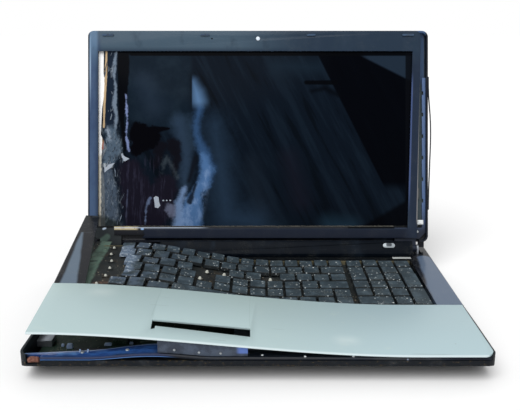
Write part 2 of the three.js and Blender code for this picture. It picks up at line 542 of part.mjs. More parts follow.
function keyboardPlate() {
  const x = [KEYBOARD_LEFT - PLATE_MARGIN, KEYBOARD_RIGHT + 1.3];
  const y = [KEYBOARD_FRONT + 0.5, KEYBOARD_BACK - 0.5];
  const plate = bend(box(x, y, [PLATE_Z, PLATE_TOP], 26, 2), keyboardLift);
  const lip = bend(box([x[0] + 6, x[1]], [y[1] - 1.4, y[1] - 0.1],
    [PLATE_Z + 0.3, PLATE_TOP + PLATE_LIP], 26, 1), keyboardLift);
  const tab = bend(box([x[0], x[0] + PLATE_TAB.width], [y[1] - 1, y[1] + PLATE_TAB.length],
    [PLATE_Z, PLATE_TOP], 2, 1), keyboardLift);
  const screwHole = cylinderZ(x[0] + 5, y[1] - 46, 2.6, [PLATE_Z, PLATE_TOP + BUCKLE + 5], 8);
  const caps = [];
  const guide = (cx, cy, top) => {
    const half = GUIDE_WIDTH / 2;
    const lift = keyboardLift(cx);
    caps.push(box([cx - half, cx + half], [cy - half, cy + half], [PLATE_TOP - 0.6 + lift, top + lift]));
  };
  const stuck = (cx, cy, w, d, seed) => {
    const slope = (keyboardLift(cx + 1) - keyboardLift(cx - 1)) / 2;
    const loose = smooth((BUCKLE_END - cx) / BUCKLE_RUN);
    const sunk = 0.7 + 0.6 * wobble(seed);
    const cap = keyCap(w, d).rotateX(loose * 0.1 * wobble(seed + 1));
    cap.rotateY(-Math.atan(slope) + loose * 0.07 * wobble(seed + 2));
    caps.push(cap.translate(cx, cy, KEY_BOTTOM - sunk + keyboardLift(cx)));
    guide(cx, cy, GUIDE_TOP);
  };
  MAIN_ROWS.forEach((widths, row) => {
    let left = KEYBOARD_LEFT;
    widths.forEach((units, index) => {
      const cx = left + units * COLUMN / 2;
      const cy = KEYBOARD_FRONT + (row + 0.5) * ROW;
      if (isLost(row, index)) guide(cx, cy, GUIDE_TOP);
      else stuck(cx, cy, units * COLUMN - KEY_GAP, ROW - KEY_GAP, row * 20 + index);
      left += units * COLUMN;
    });
  });
  for (const row of [4, 5]) {
    for (let column = 0; column < NUMPAD_COLUMNS; column += 1) {
      const cell = numpadCell(['', column, row, 1, 1]);
      stuck(cell.x, cell.y, cell.w, cell.d, row * 30 + column);
    }
  }
  for (const key of NUMPAD_KEYS) {
    const cell = numpadCell(key);
    guide(cell.x, cell.y, GUIDE_TOP);
  }
  return cut(join(plate, lip, tab, ...caps), screwHole);
}

function looseKey(key) {
  const cell = numpadCell(key);
  const half = GUIDE_WIDTH / 2 + GAP;
  const cap = keyCap(cell.w, cell.d).translate(0, 0, KEY_BOTTOM);
  const pocket = box([-half, half], [-half, half], [KEY_BOTTOM - 1, POCKET_TOP]);
  return toGeometry(cut(cap, pocket)).translate(cell.x, cell.y, 0);
}

function motherboard() {
  const left = LEFT + 6;
  const outline = polygon([[left, 33], [-25, 33], [-25, 135], [LEFT + 83, 135], [LEFT + 83, 222],
    [left, 222], [left, 203], [LEFT + 70, 203], [LEFT + 70, 137], [left, 137]]);
  const chips = [[[-96, -72], [98, 122], 2], [[-150, -132], [92, 110], 1.6], [[-60, -44], [50, 66], 1.4],
    [[-124, -112], [48, 56], 3], [[-100, -70], [40, 46], 4]];
  const parts = chips.map(([x, y, h]) => box(x, y, [BOARD_TOP - 0.4, BOARD_TOP + h]));
  const socket = box([COVER_CENTRE[0] - 34, COVER_CENTRE[0] + 34], [96.3, 102], [5, BOARD_Z + 0.4]);
  return join(alongZ(outline, [BOARD_Z, BOARD_TOP]), socket, ...parts);
}

const CPU = { x: [-98, -70], y: [96, 124], z: BOARD_TOP + 2 + GAP };
function heatsink() {
  const x = [LEFT + 5, LEFT + 15.5];
  const y = [FAN_CENTRE.y - 24, FAN_CENTRE.y + 24];
  const z = [FLOOR_Z + 1.2, BOARD_TOP + 3];
  const slots = [];
  for (let i = 0; i < 9; i += 1) {
    const at = y[0] + 3.2 + i * 4.8;
    slots.push(box([x[0] - 1, x[1] + 1], [at, at + 3.4], [z[0] + 1, z[1] + 1]));
  }
  const route = new THREE.CatmullRomCurve3([
    [x[0] + 5, y[1] - 1], [x[0] + 5, y[0] + 6], [x[0] + 9, y[0] - 9],
    [LEFT + 50, 118], [-105, 112], [-80, 110]].map(([px, py]) => new THREE.Vector3(px, py, CPU.z + 1.9)));
  const pipe = new THREE.ExtrudeGeometry(disc(0, 0, 2),
    { steps: 20, extrudePath: route, curveSegments: 4 });
  const plate = box(CPU.x, CPU.y, [CPU.z, CPU.z + 1.3]);
  return join(cut(box(x, y, z), ...slots), pipe, plate);
}

function fanHousing() {
  const x = [FAN_X - FAN_SIZE[0] / 2, FAN_X + FAN_SIZE[0] / 2];
  const y = [FAN_CENTRE.y - FAN_SIZE[1] / 2, FAN_CENTRE.y + FAN_SIZE[1] / 2];
  const z = [FLOOR_Z + GAP, FLOOR_Z + GAP + 8.4];
  const room = box([x[0] - 1, x[1] - 1], [y[0] + 1, y[1] - 1], [z[0] + 1, z[1] - 1]);
  const inlet = cylinderZ(FAN_X, FAN_CENTRE.y, FAN_RADIUS - 4, [z[1] - 2, z[1] + 1], 24);
  const spindle = cylinderZ(FAN_X, FAN_CENTRE.y, SPINDLE_RADIUS, [z[0] + 0.5, z[1] - 1.4], 12);
  return join(cut(box(x, y, z), room, inlet), spindle);
}

function fanRotor() {
  const z = [FLOOR_Z + 2.3, FLOOR_Z + 7];
  const hub = cylinderZ(0, 0, 7, z, 20);
  const bore = cylinderZ(0, 0, SPINDLE_RADIUS + GAP, [z[0] - 1, z[1] + 1], 12);
  const blades = [];
  for (let i = 0; i < FAN_BLADES; i += 1) {
    const blade = new THREE.Shape();
    blade.moveTo(6, -0.5);
    blade.quadraticCurveTo(14, 0, FAN_RADIUS, 6);
    blade.lineTo(FAN_RADIUS - 0.6, 6.9);
    blade.quadraticCurveTo(13.5, 1, 6, 0.6);
    blades.push(alongZ(blade, [z[0] + 0.4, z[1] - 0.4], 3).rotateZ(i * 2 * Math.PI / FAN_BLADES));
  }
  return toGeometry(cut(join(hub, ...blades), bore)).translate(FAN_X, FAN_CENTRE.y, 0);
}

function hardDrive() {
  const [w, d, h] = DISK_SIZE;
  const x = [-21, -21 + w];
  const y = [WEDGE_RUN + 2, WEDGE_RUN + 2 + d];
  const z = [FLOOR_Z + GAP, FLOOR_Z + GAP + h];
  const raised = rounded([x[0] + 3, x[1] - 3], [y[0] + 4, y[1] - 14], 5);
  return join(box(x, y, z), alongZ(raised, [z[1] - 0.4, z[1] + 0.4], 2));
}

function opticalDrive() {
  const cavity = box([DRIVE_X[0] + 2, DRIVE_X[1] + 1], [DRIVE_Y[0] + 2, DRIVE_Y[1] - 2],
    [DRIVE_Z[0] + 1, DRIVE_Z[1] - 1]);
  return cut(box(DRIVE_X, DRIVE_Y, DRIVE_Z), cavity);
}

function opticalTray() {
  const x = [DRIVE_X[0] + 3, DRIVE_X[1] + 1.5];
  const y = [DRIVE_Y[0] + 2 + GAP, DRIVE_Y[1] - 2 - GAP];
  const z = [DRIVE_Z[0] + 1 + GAP, DRIVE_Z[1] - 2];
  const centre = [(x[0] + x[1]) / 2, (y[0] + y[1]) / 2];
  const well = cylinderZ(...centre, DISC_WELL_RADIUS, [z[0] + 2, z[1] + 1], 40);
  const spindle = cylinderZ(...centre, 8, [z[0] + 1, z[1] - 0.5], 16);
  const face = box([DRIVE_X[1] + GAP, RIGHT - 0.2], DRIVE_Y, FACEPLATE_Z);
  const eject = cylinderZ(0, 0, 1.6, [0, 2], 10).rotateY(Math.PI / 2);
  eject.translate(RIGHT - 1, DRIVE_Y[0] + 22, (FACEPLATE_Z[0] + FACEPLATE_Z[1]) / 2);
  return cut(join(cut(box(x, y, z), well), spindle, face), eject);
}

function batteryPack() {
  const section = polygon([[BATTERY_FRONT, FOOT_HEIGHT], [DEPTH - REAR_CHAMFER, FOOT_HEIGHT],
    [DEPTH, FOOT_HEIGHT + REAR_CHAMFER], [DEPTH, BATTERY_TOP - 2], [DEPTH - 2, BATTERY_TOP],
    [BATTERY_FRONT, BATTERY_TOP]]);
  return alongX(section, BATTERY_X);
}

function batteryLatch() {
  const knob = box([LATCH_X - LATCH_KNOB[0] / 2, LATCH_X + LATCH_KNOB[0] / 2],
    [LATCH_Y - LATCH_KNOB[1] / 2, LATCH_Y + LATCH_KNOB[1] / 2], [FOOT_HEIGHT - 0.6, FLOOR_Z + 1]);
  const head = box([LATCH_X - LATCH_HEAD[0] / 2, LATCH_X + LATCH_HEAD[0] / 2],
    [LATCH_Y - LATCH_HEAD[1] / 2, LATCH_Y + LATCH_HEAD[1] / 2], [FLOOR_Z + GAP, FLOOR_Z + 1.8]);
  return join(knob, head);
}

function memoryCover() {
  const [cx, cy] = COVER_CENTRE;
  const [w, d] = COVER_SIZE;
  const slots = [];
  for (let i = 0; i < 5; i += 1) {
    const y = cy - 4 + i * 5.5;
    slots.push(box([cx - 22, cx + 22], [y - 1.2, y + 1.2], [0, FLOOR_Z]));
  }
  const door = box([cx - w / 2, cx + w / 2], [cy - d / 2, cy + d / 2], [FOOT_HEIGHT, FLOOR_Z - GAP]);
  return cut(door, ...slots);
}

function memoryModule() {
  const card = box([COVER_CENTRE[0] - 33.8, COVER_CENTRE[0] + 33.8], [66, 96], [5.3, 6.5]);
  const chips = [0, 1, 2, 3].map((i) => {
    const x = COVER_CENTRE[0] - 29 + i * 16;
    return box([x, x + 11], [74, 88], [6.2, 7.3]);
  });
  return join(card, ...chips);
}

function speaker(side) {
  const body = box([110, 150], [8.5, 23], [14.2, 19]);
  const cone = cylinderZ(130, 15.7, 6, [18.5, 19.3], 16);
  const whole = toGeometry(join(body, cone));
  return side < 0 ? whole.translate(-260, 0, 0) : whole;
}

function portShell(port) {
  const x = portX(port, PORT_PROUD, PORT_LENGTH);
  const { y, z } = port;
  const mouth = port.side < 0 ? [x[0] - 1, x[1] - 2] : [x[0] + 2, x[1] + 1];
  const tongue = port.side < 0 ? [x[0] + 1.5, x[1] - 1] : [x[0] + 1, x[1] - 1.5];
  const shell = cut(box(x, y, z), box(mouth, [y[0] + 0.5, y[1] - 0.5], [z[0] + 0.5, z[1] - 0.5]));
  return join(shell, box(tongue, [y[0] + 1, y[1] - 1], [z[1] - 2.7, z[1] - 0.9]));
}

function dcJack() {
  const port = PORTS.dc_jack;
  const x = portX(port, PORT_PROUD, PORT_LENGTH);
  const centre = [(port.y[0] + port.y[1]) / 2, (port.z[0] + port.z[1]) / 2];
  const bore = alongX(disc(...centre, 2.75), [x[0] - 1, x[1] - 3], 1, 8);
  const pin = alongX(disc(...centre, 0.9), [x[0] + 1, x[1] - 2], 1, 4);
  return join(cut(box(x, port.y, port.z), bore), pin);
}

function hingeBracket(side) {
  const plateX = [HINGE_X[0] - 3, HINGE_X[1] + 2.5];
  const plate = box(plateX, [AXIS_Y - 14, AXIS_Y + 11], [BRACKET_Z, BRACKET_Z + BRACKET_THICK]);
  const ear = new THREE.Shape();
  ear.moveTo(AXIS_Y - 6, BRACKET_Z);
  ear.lineTo(AXIS_Y + 6, BRACKET_Z);
  ear.lineTo(AXIS_Y + 4.4, AXIS_Z);
  ear.absarc(AXIS_Y, AXIS_Z, 4.4, 0, Math.PI);
  const upright = alongX(ear, [HINGE_X[1] + 0.5, HINGE_X[1] + 2.5], 1, 6);
  const pin = alongX(disc(AXIS_Y, AXIS_Z, PIN_RADIUS), [HINGE_X[0] + 0.5, HINGE_X[1] + 1], 1, 10);
  const whole = toGeometry(join(plate, upright, pin));
  return side < 0 ? mirrored(whole) : whole;
}

function mirrored(geometry) {
  const flipped = geometry.scale(-1, 1, 1);
  const index = flipped.index.array;
  for (let i = 0; i < index.length; i += 3) [index[i], index[i + 1]] = [index[i + 1], index[i]];
  return flipped;
}

// Lid pieces: x to the right, y backwards from the bezel's face, z up the lid from the deck
const COVER_X = [LEFT, RIGHT];
const COVER_Z = [LID_BOTTOM, LID_TOP];

function lidCover() {
  const bevel = 1.5;
  const shape = rounded([COVER_X[0] + bevel, COVER_X[1] - bevel], [COVER_Z[0] + bevel, COVER_Z[1] - bevel],
    LID_CORNER - bevel);
  const blank = new THREE.ExtrudeGeometry(shape, { depth: LID_BACK - bevel, curveSegments: 3,
    bevelEnabled: true, bevelThickness: bevel, bevelSize: bevel, bevelSegments: 2 });
  blank.applyMatrix4(ALONG_Y).translate(0, LID_BACK - bevel, 0);
  const front = box([LEFT - 5, RIGHT + 5], [-9, LID_RIM_FRONT], [0, LID_TOP + 9]);
  const roomOutline = rounded([LEFT + WALL, RIGHT - WALL], [LID_BOTTOM + WALL, LID_TOP - WALL],
    LID_CORNER - WALL);
  const room = alongY(roomOutline, [0, LID_BACK - LID_SKIN], 1, 3);
  const notch = (x) => box(x, [0, LID_BACK - LID_SKIN], [0, LID_BOTTOM + WALL + 1]);
  const notchX = [HINGE_X[0] - 3, HINGE_X[1] + 3];
  const cover = cut(blank, front, room, notch(notchX), notch([-notchX[1], -notchX[0]]));
  const inner = [BATTERY_X[1] + LID_SKIRT.pastBattery, HINGE_X[0]];
  const outer = [HINGE_X[1] + LID_SKIRT.pastHinge, RIGHT - LID_SKIRT.side];
  const skirts = [];
  const faces = [LID_SKIRT.front, LID_BACK - LID_SKIN];
  for (const [i, [near, far]] of [inner, outer].entries()) {
    const y = [faces[i], LID_BACK - SKIRT_STEP];
    const z = [LID_SKIRT.foot[i], LID_BOTTOM + WALL];
    skirts.push(box([-far, -near], y, z), box([near, far], y, z));
  }
  return join(cover, ...skirts);
}

function screenBezel() {
  const out = 0.6;
  const top = LID_TOP - out;
  const inTop = top + out - BEZEL_TOP;
  const inLeft = LEFT + BEZEL_SIDE + out;
  const rightTop = RIGHT - BEZEL_SPRUNG_TOP;
  const rightFoot = RIGHT - BEZEL_SPRUNG_FOOT;
  const r = LID_CORNER - 1;
  const shape = new THREE.Shape();
  shape.moveTo(LEFT + out, 34);
  shape.lineTo(inLeft - 5, 41);
  shape.lineTo(inLeft, 36);
  shape.lineTo(inLeft, inTop);
  shape.lineTo(rightTop - BEZEL_SIDE + 2, inTop);
  shape.lineTo(rightFoot - BEZEL_SIDE + 0.6, BEZEL_SILL);
  shape.lineTo(BEZEL_BREAK_X + 4, BEZEL_SILL);
  shape.lineTo(BEZEL_BREAK_X + 1, BEZEL_SILL - 4);
  shape.lineTo(BEZEL_BREAK_X + 3, BEZEL_FOOT + 4);
  shape.lineTo(BEZEL_BREAK_X, BEZEL_FOOT);
  shape.lineTo(rightFoot, BEZEL_FOOT);
  shape.lineTo(rightTop, top - r);
  shape.absarc(rightTop - r, top - r, r, 0, Math.PI / 2);
  shape.absarc(LEFT + out + r, top - r, r, Math.PI / 2, Math.PI);
  const frame = alongY(shape, [0, BEZEL_THICK]);
  const peep = alongY(disc(0, WEBCAM_S, WEBCAM_RADIUS + GAP), [-1, BEZEL_THICK + 1], 1, 10);
  const microphone = alongY(disc(-51, WEBCAM_S, 0.9), [-1, BEZEL_THICK + 1], 1, 4);
  return cut(frame, peep, microphone);
}

const GLASS_X = [LEFT + 17.2, RIGHT - 13];
const TRAY_X = [LEFT + 11.4, RIGHT - 11];
const TRAY_Z = [BEZEL_SILL + 2.3, LID_TOP - 16.6];
const GLASS_Y = [LID_RIM_FRONT, LID_RIM_FRONT + GLASS_THICK];
const TRAY_Y = [GLASS_Y[1] + GAP, LID_BACK - LID_SKIN - TRAY_CLEARANCE];

function lcdGlass() {
  const [x0, x1] = GLASS_X;
  const z0 = TRAY_Z[0] + 0.5;
  const z1 = TRAY_Z[1] - 3;
  const shape = polygon([[x0 + 2, z0], [x1, z0], [x1, z1], [x0 + 0.5, z1], [x0, z1 - 28], [x0 + 3, z1 - 40],
    [x0 - 1.5, z1 - 66], [x0 - 3, z1 - 96], [x0 + 4, z1 - 110], [x0 - 2, z1 - 124], [x0 + 1, z1 - 150]]);
  return alongY(shape, GLASS_Y);
}

function backlightTray() {
  const sheet = box(TRAY_X, TRAY_Y, TRAY_Z);
  const ears = [60, 175].flatMap((z) => [
    box([TRAY_X[0] - 2, TRAY_X[0] + 1], [TRAY_Y[0] + 2, TRAY_Y[0] + 3.4], [z, z + 12]),
    box([TRAY_X[1] - 1, TRAY_X[1] + 2], [TRAY_Y[0] + 2, TRAY_Y[0] + 3.4], [z, z + 12])]);
  return join(sheet, ...ears);
}

function lcdDriverBoard() {
  const card = box([-HINGE_X[0] - 8, 100], [2.4, 2.4 + SHEET], [TRAY_Z[0] - 9.5, TRAY_Z[0] - GAP]);
  const chip = box([-30, 10], [2.4 + SHEET - 0.3, 5.4], [TRAY_Z[0] - 7.5, TRAY_Z[0] - 2.5]);
  return join(card, chip);
}

function lidRail(side) {
  const y = [AXIS_BACK - ARM_THICK / 2, AXIS_BACK + ARM_THICK / 2];
  const railX = [RIGHT - WALL - GAP - RAIL_WIDTH, RIGHT - WALL - GAP];
  const armX = [HINGE_X[0] + 0.3, HINGE_X[1]];
  const foot = LID_BOTTOM + 3.5;
  const outline = polygon([[armX[0], AXIS_UP], [armX[1], AXIS_UP], [armX[1], foot],
    [railX[1] - LID_CORNER, foot], [railX[1], foot + LID_CORNER], [railX[1], RAIL_TOP],
    [railX[0], RAIL_TOP], [railX[0], TRAY_Z[0] - 1.5], [armX[0], TRAY_Z[0] - 1.5]]);
  const knuckle = alongX(disc(AXIS_BACK, AXIS_UP, KNUCKLE_RADIUS), armX, 1, 10);
  const bore = alongX(disc(AXIS_BACK, AXIS_UP, PIN_RADIUS + GAP), [armX[0] - 1, armX[1] + 1], 1, 10);
  const notches = [];
  for (let i = 0; i < 6; i += 1) {
    const z = 56 + i * 24;
    notches.push(box([railX[0] - 1, railX[0] + 1.6], [y[0] - 1, y[1] + 1], [z, z + 4]));
  }
  const whole = toGeometry(cut(join(alongY(outline, y), knuckle), bore, ...notches));
  return side < 0 ? mirrored(whole) : whole;
}

function webcamBoard() {
  const card = box([-22, 22], [BEZEL_THICK + 2, BEZEL_THICK + 2 + SHEET],
    [TRAY_Z[1] + GAP, TRAY_Z[1] + 11.5]);
  const block = box([-4, 4], [BEZEL_THICK + 0.9, BEZEL_THICK + 2.5], [WEBCAM_S - 4, WEBCAM_S + 3]);
  return join(card, block);
}

function webcamLens() {
  const y = [-0.2, BEZEL_THICK + 0.9 - GAP];
  return alongY(disc(0, WEBCAM_S, WEBCAM_RADIUS), y, 1, 10);
}

const BUMPERS = [[-166.3, 13], [-58.8, 10], [58.8, 10], [166.3, 13]];
function bumper([x, length]) {
  const z = LID_TOP - 5.3;
  return alongY(rounded([x - length / 2, x + length / 2], [z - 1.1, z + 1.1], 1), [-1.2, -GAP], 1, 1);
}

function edgeTrim() {
  const near = RIGHT + GAP + 0.6;
  const route = new THREE.CatmullRomCurve3([
    [near, 196], [near + 0.2, 178], [near + 2.2, 150], [near + 2.6, 130],
    [near + 1.4, 95], [near + 0.2, 62], [near, 48]].map(([x, z]) => new THREE.Vector3(x, 4.6, z)));
  const section = polygon([[-1.1, -0.5], [1.1, -0.5], [1.1, 0.5], [-1.1, 0.5]]);
  return new THREE.ExtrudeGeometry(section, { steps: 14, extrudePath: route });
}

// Assembly
addTo(laptop, 'bottom_case', bottomCase(), 'matt_black');
addTo(laptop, 'front_trim', frontTrim(), 'gloss_black');
addTo(laptop, 'corner_bracket', cornerBracket(), 'rust');
addTo(laptop, 'palm_rest', palmRest(), 'silver');
addTo(laptop, 'touchpad_board', touchpadBoard(), 'board');
addTo(laptop, 'touchpad_bracket', touchpadBracket(), 'steel');
addTo(laptop, 'top_case', topCase(), 'gloss_black');
addTo(laptop, 'hinge_cover', hingeCover(), 'gloss_black');
addTo(laptop, 'power_button', powerButton(), 'steel');
addTo(laptop, 'keyboard_plate', keyboardPlate(), 'plate');
NUMPAD_KEYS.forEach((key) => addTo(laptop, key[0], looseKey(key), 'matt_black'));
addTo(laptop, 'motherboard', motherboard(), 'board');
addTo(laptop, 'heatsink', heatsink(), 'copper');
addTo(laptop, 'fan_housing', fanHousing(), 'matt_black');
addTo(laptop, 'fan_rotor', fanRotor(), 'matt_black');
addTo(laptop, 'hard_drive', hardDrive(), 'steel');
addTo(laptop, 'optical_drive', opticalDrive(), 'steel');
addTo(laptop, 'optical_tray', opticalTray(), 'matt_black');
addTo(laptop, 'battery_pack', batteryPack(), 'matt_black');
addTo(laptop, 'battery_latch', batteryLatch(), 'matt_black');
addTo(laptop, 'memory_cover', memoryCover(), 'matt_black');
addTo(laptop, 'memory_module', memoryModule(), 'board');
addTo(laptop, 'speaker_left', speaker(-1), 'matt_black');
addTo(laptop, 'speaker_right', speaker(1), 'matt_black');
addTo(laptop, 'usb_port_left', portShell(PORTS.usb_port_left), 'steel');
addTo(laptop, 'usb_port_right', portShell(PORTS.usb_port_right), 'steel');
addTo(laptop, 'video_port', portShell(PORTS.video_port), 'steel');
addTo(laptop, 'dc_jack', dcJack(), 'matt_black');
addTo(laptop, 'hinge_bracket_left', hingeBracket(-1), 'steel');
addTo(laptop, 'hinge_bracket_right', hingeBracket(1), 'steel');
const FOOT_PADS = {
  front_left: [-150, 44],
  front_right: [150, 44],
  rear_left: [-150, DEPTH - 25],
  rear_right: [150, DEPTH - 25],
};
for (const [corner, [x, y]] of Object.entries(FOOT_PADS)) {
  const pad = alongZ(rounded([x - 14, x + 14], [y - 5, y + 5], 4.9), [0, FOOT_HEIGHT - GAP], 2);
  addTo(laptop, `foot_${corner}`, pad, 'rubber');
}
addTo(lid, 'lid_cover', lidCover(), 'gloss_black');
addTo(lid, 'screen_bezel', screenBezel(), 'gloss_black');
addTo(lid, 'lcd_glass', lcdGlass(), 'screen');
addTo(lid, 'backlight_tray', backlightTray(), 'white');
addTo(lid, 'lcd_driver_board', lcdDriverBoard(), 'tan');
addTo(lid, 'lid_rail_left', lidRail(-1), 'steel');
addTo(lid, 'lid_rail_right', lidRail(1), 'steel');
addTo(lid, 'webcam_board', webcamBoard(), 'board');
addTo(lid, 'webcam_lens', webcamLens(), 'lens');
BUMPERS.forEach((pad, i) => addTo(lid, `bumper_${i + 1}`, bumper(pad), 'rubber'));
addTo(lid, 'edge_trim', edgeTrim(), 'gloss_black');

// Origin at the middle of the object's box, on the surface that it stands on
laptop.updateMatrixWorld(true);
const bounds = new THREE.Box3().setFromObject(laptop, true);
const centre = bounds.getCenter(new THREE.Vector3());
laptop.position.set(-centre.x, -centre.y, -bounds.min.z);
laptop.updateMatrixWorld(true);

export default laptop;
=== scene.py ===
"""Looks of the broken laptop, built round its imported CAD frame."""

import math
import random

import bmesh
import bpy
from mathutils import Matrix, Vector


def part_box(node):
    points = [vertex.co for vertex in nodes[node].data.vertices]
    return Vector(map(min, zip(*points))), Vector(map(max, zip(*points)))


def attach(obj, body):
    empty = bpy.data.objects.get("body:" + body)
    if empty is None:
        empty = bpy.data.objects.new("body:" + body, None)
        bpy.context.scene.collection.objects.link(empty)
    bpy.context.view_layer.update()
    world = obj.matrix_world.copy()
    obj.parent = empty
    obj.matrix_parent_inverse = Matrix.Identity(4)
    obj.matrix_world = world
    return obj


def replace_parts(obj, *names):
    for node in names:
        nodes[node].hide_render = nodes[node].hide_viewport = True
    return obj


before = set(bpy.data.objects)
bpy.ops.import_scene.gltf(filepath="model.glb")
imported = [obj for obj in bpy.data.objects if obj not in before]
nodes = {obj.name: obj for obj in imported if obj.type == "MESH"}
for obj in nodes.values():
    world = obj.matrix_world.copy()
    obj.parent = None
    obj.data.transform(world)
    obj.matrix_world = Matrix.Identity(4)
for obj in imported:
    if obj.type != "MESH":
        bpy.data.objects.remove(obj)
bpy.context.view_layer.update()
scene = bpy.context.scene
rng = random.Random(20)

# The CAD source's own frame, in millimetres:
# x from the base's middle, y from its front edge, z from the floor
BASE_LOW, BASE_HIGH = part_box("bottom_case")
ORIGIN_X = (BASE_LOW.x + BASE_HIGH.x) / 2
ORIGIN_Y = BASE_LOW.y
MM = 0.001
DECK_Z = 24
LID_Y = 235
LEAN = math.radians(16.1)
LENS_HEIGHT = 237.8
TRIM_TOP = 22.1
BOW_HEIGHT, BOW_MIDDLE, BOW_HALF = 3.2, -84, 50
BOARD_TOP = 9.6

# Keyboard sizes, as in the CAD source where it has them
COLUMN, ROW, KEY_GAP, KEY_HEIGHT, KEY_DISH = 17.3, 19.6, 1.6, 3.2, 0.35
KEYBOARD_LEFT, KEYBOARD_FRONT = -160.5, 98
MAIN_UNITS, NUMPAD_GAP = 14.5, 3
PLATE_Z, PLATE_TOP, PLATE_SHEET, KEY_BOTTOM = 17.3, 18.3, 1, 20.6
BUCKLE, BUCKLE_END, BUCKLE_RUN = 21, 20, 160
TAB_WIDTH, TAB_LENGTH, FLANGE_FRONT, FLANGE_WIDTH = 11, 14.9, 185, 5.5
NUMPAD_LEFT = KEYBOARD_LEFT + MAIN_UNITS * COLUMN + NUMPAD_GAP
KEYBOARD_RIGHT = NUMPAD_LEFT + 4 * COLUMN
KEYBOARD_BACK = KEYBOARD_FRONT + 6 * ROW
PLATE_LEFT, PLATE_RIGHT = KEYBOARD_LEFT - 10.5, KEYBOARD_RIGHT + 1.3
PLATE_COLUMNS, PLATE_ROWS = 60, 8
POST_TOP = KEY_BOTTOM + 0.3

BASE = Matrix.Translation((ORIGIN_X, ORIGIN_Y, 0)) @ Matrix.Scale(MM, 4)
LID_PLACE = Matrix.Translation((ORIGIN_X, ORIGIN_Y + LID_Y * MM, DECK_Z * MM))
LID = LID_PLACE @ Matrix.Rotation(-LEAN, 4, "X") @ Matrix.Scale(MM, 4)
FACING_FRONT = Matrix.Rotation(math.pi / 2, 4, "X")


def smooth(t):
    """0 to 1 with level ends."""
    u = min(max(t, 0), 1)
    return u * u * (3 - 2 * u)


def keyboard_lift(x):
    """How far the buckled plate stands above its flat place."""
    return BUCKLE * smooth((BUCKLE_END - x) / BUCKLE_RUN)


def trim_bow(x):
    """How far the front ledge is bowed up."""
    return BOW_HEIGHT * (1 - min(abs(x - BOW_MIDDLE) / BOW_HALF, 1) ** 2) ** 2


# Node helpers
def put(tree, kind, inputs=None, **settings):
    """A new node with its settings, and its inputs linked or set."""
    made = tree.nodes.new(kind)
    for key, value in settings.items():
        setattr(made, key, value)
    for key, value in (inputs or {}).items():
        if isinstance(value, bpy.types.NodeSocket):
            tree.links.new(value, made.inputs[key])
        else:
            made.inputs[key].default_value = value
    return made


def rgb(r, g, b):
    """Linear colour of an sRGB one, 0 to 255."""
    def channel(c):
        c = c / 255
        return c / 12.92 if c <= 0.04045 else ((c + 0.055) / 1.055) ** 2.4
    return (channel(r), channel(g), channel(b), 1)


# Socket numbers of a colour Mix node
MIX_FACTOR, MIX_UNDER, MIX_OVER, MIX_RESULT = 0, 6, 7, 2


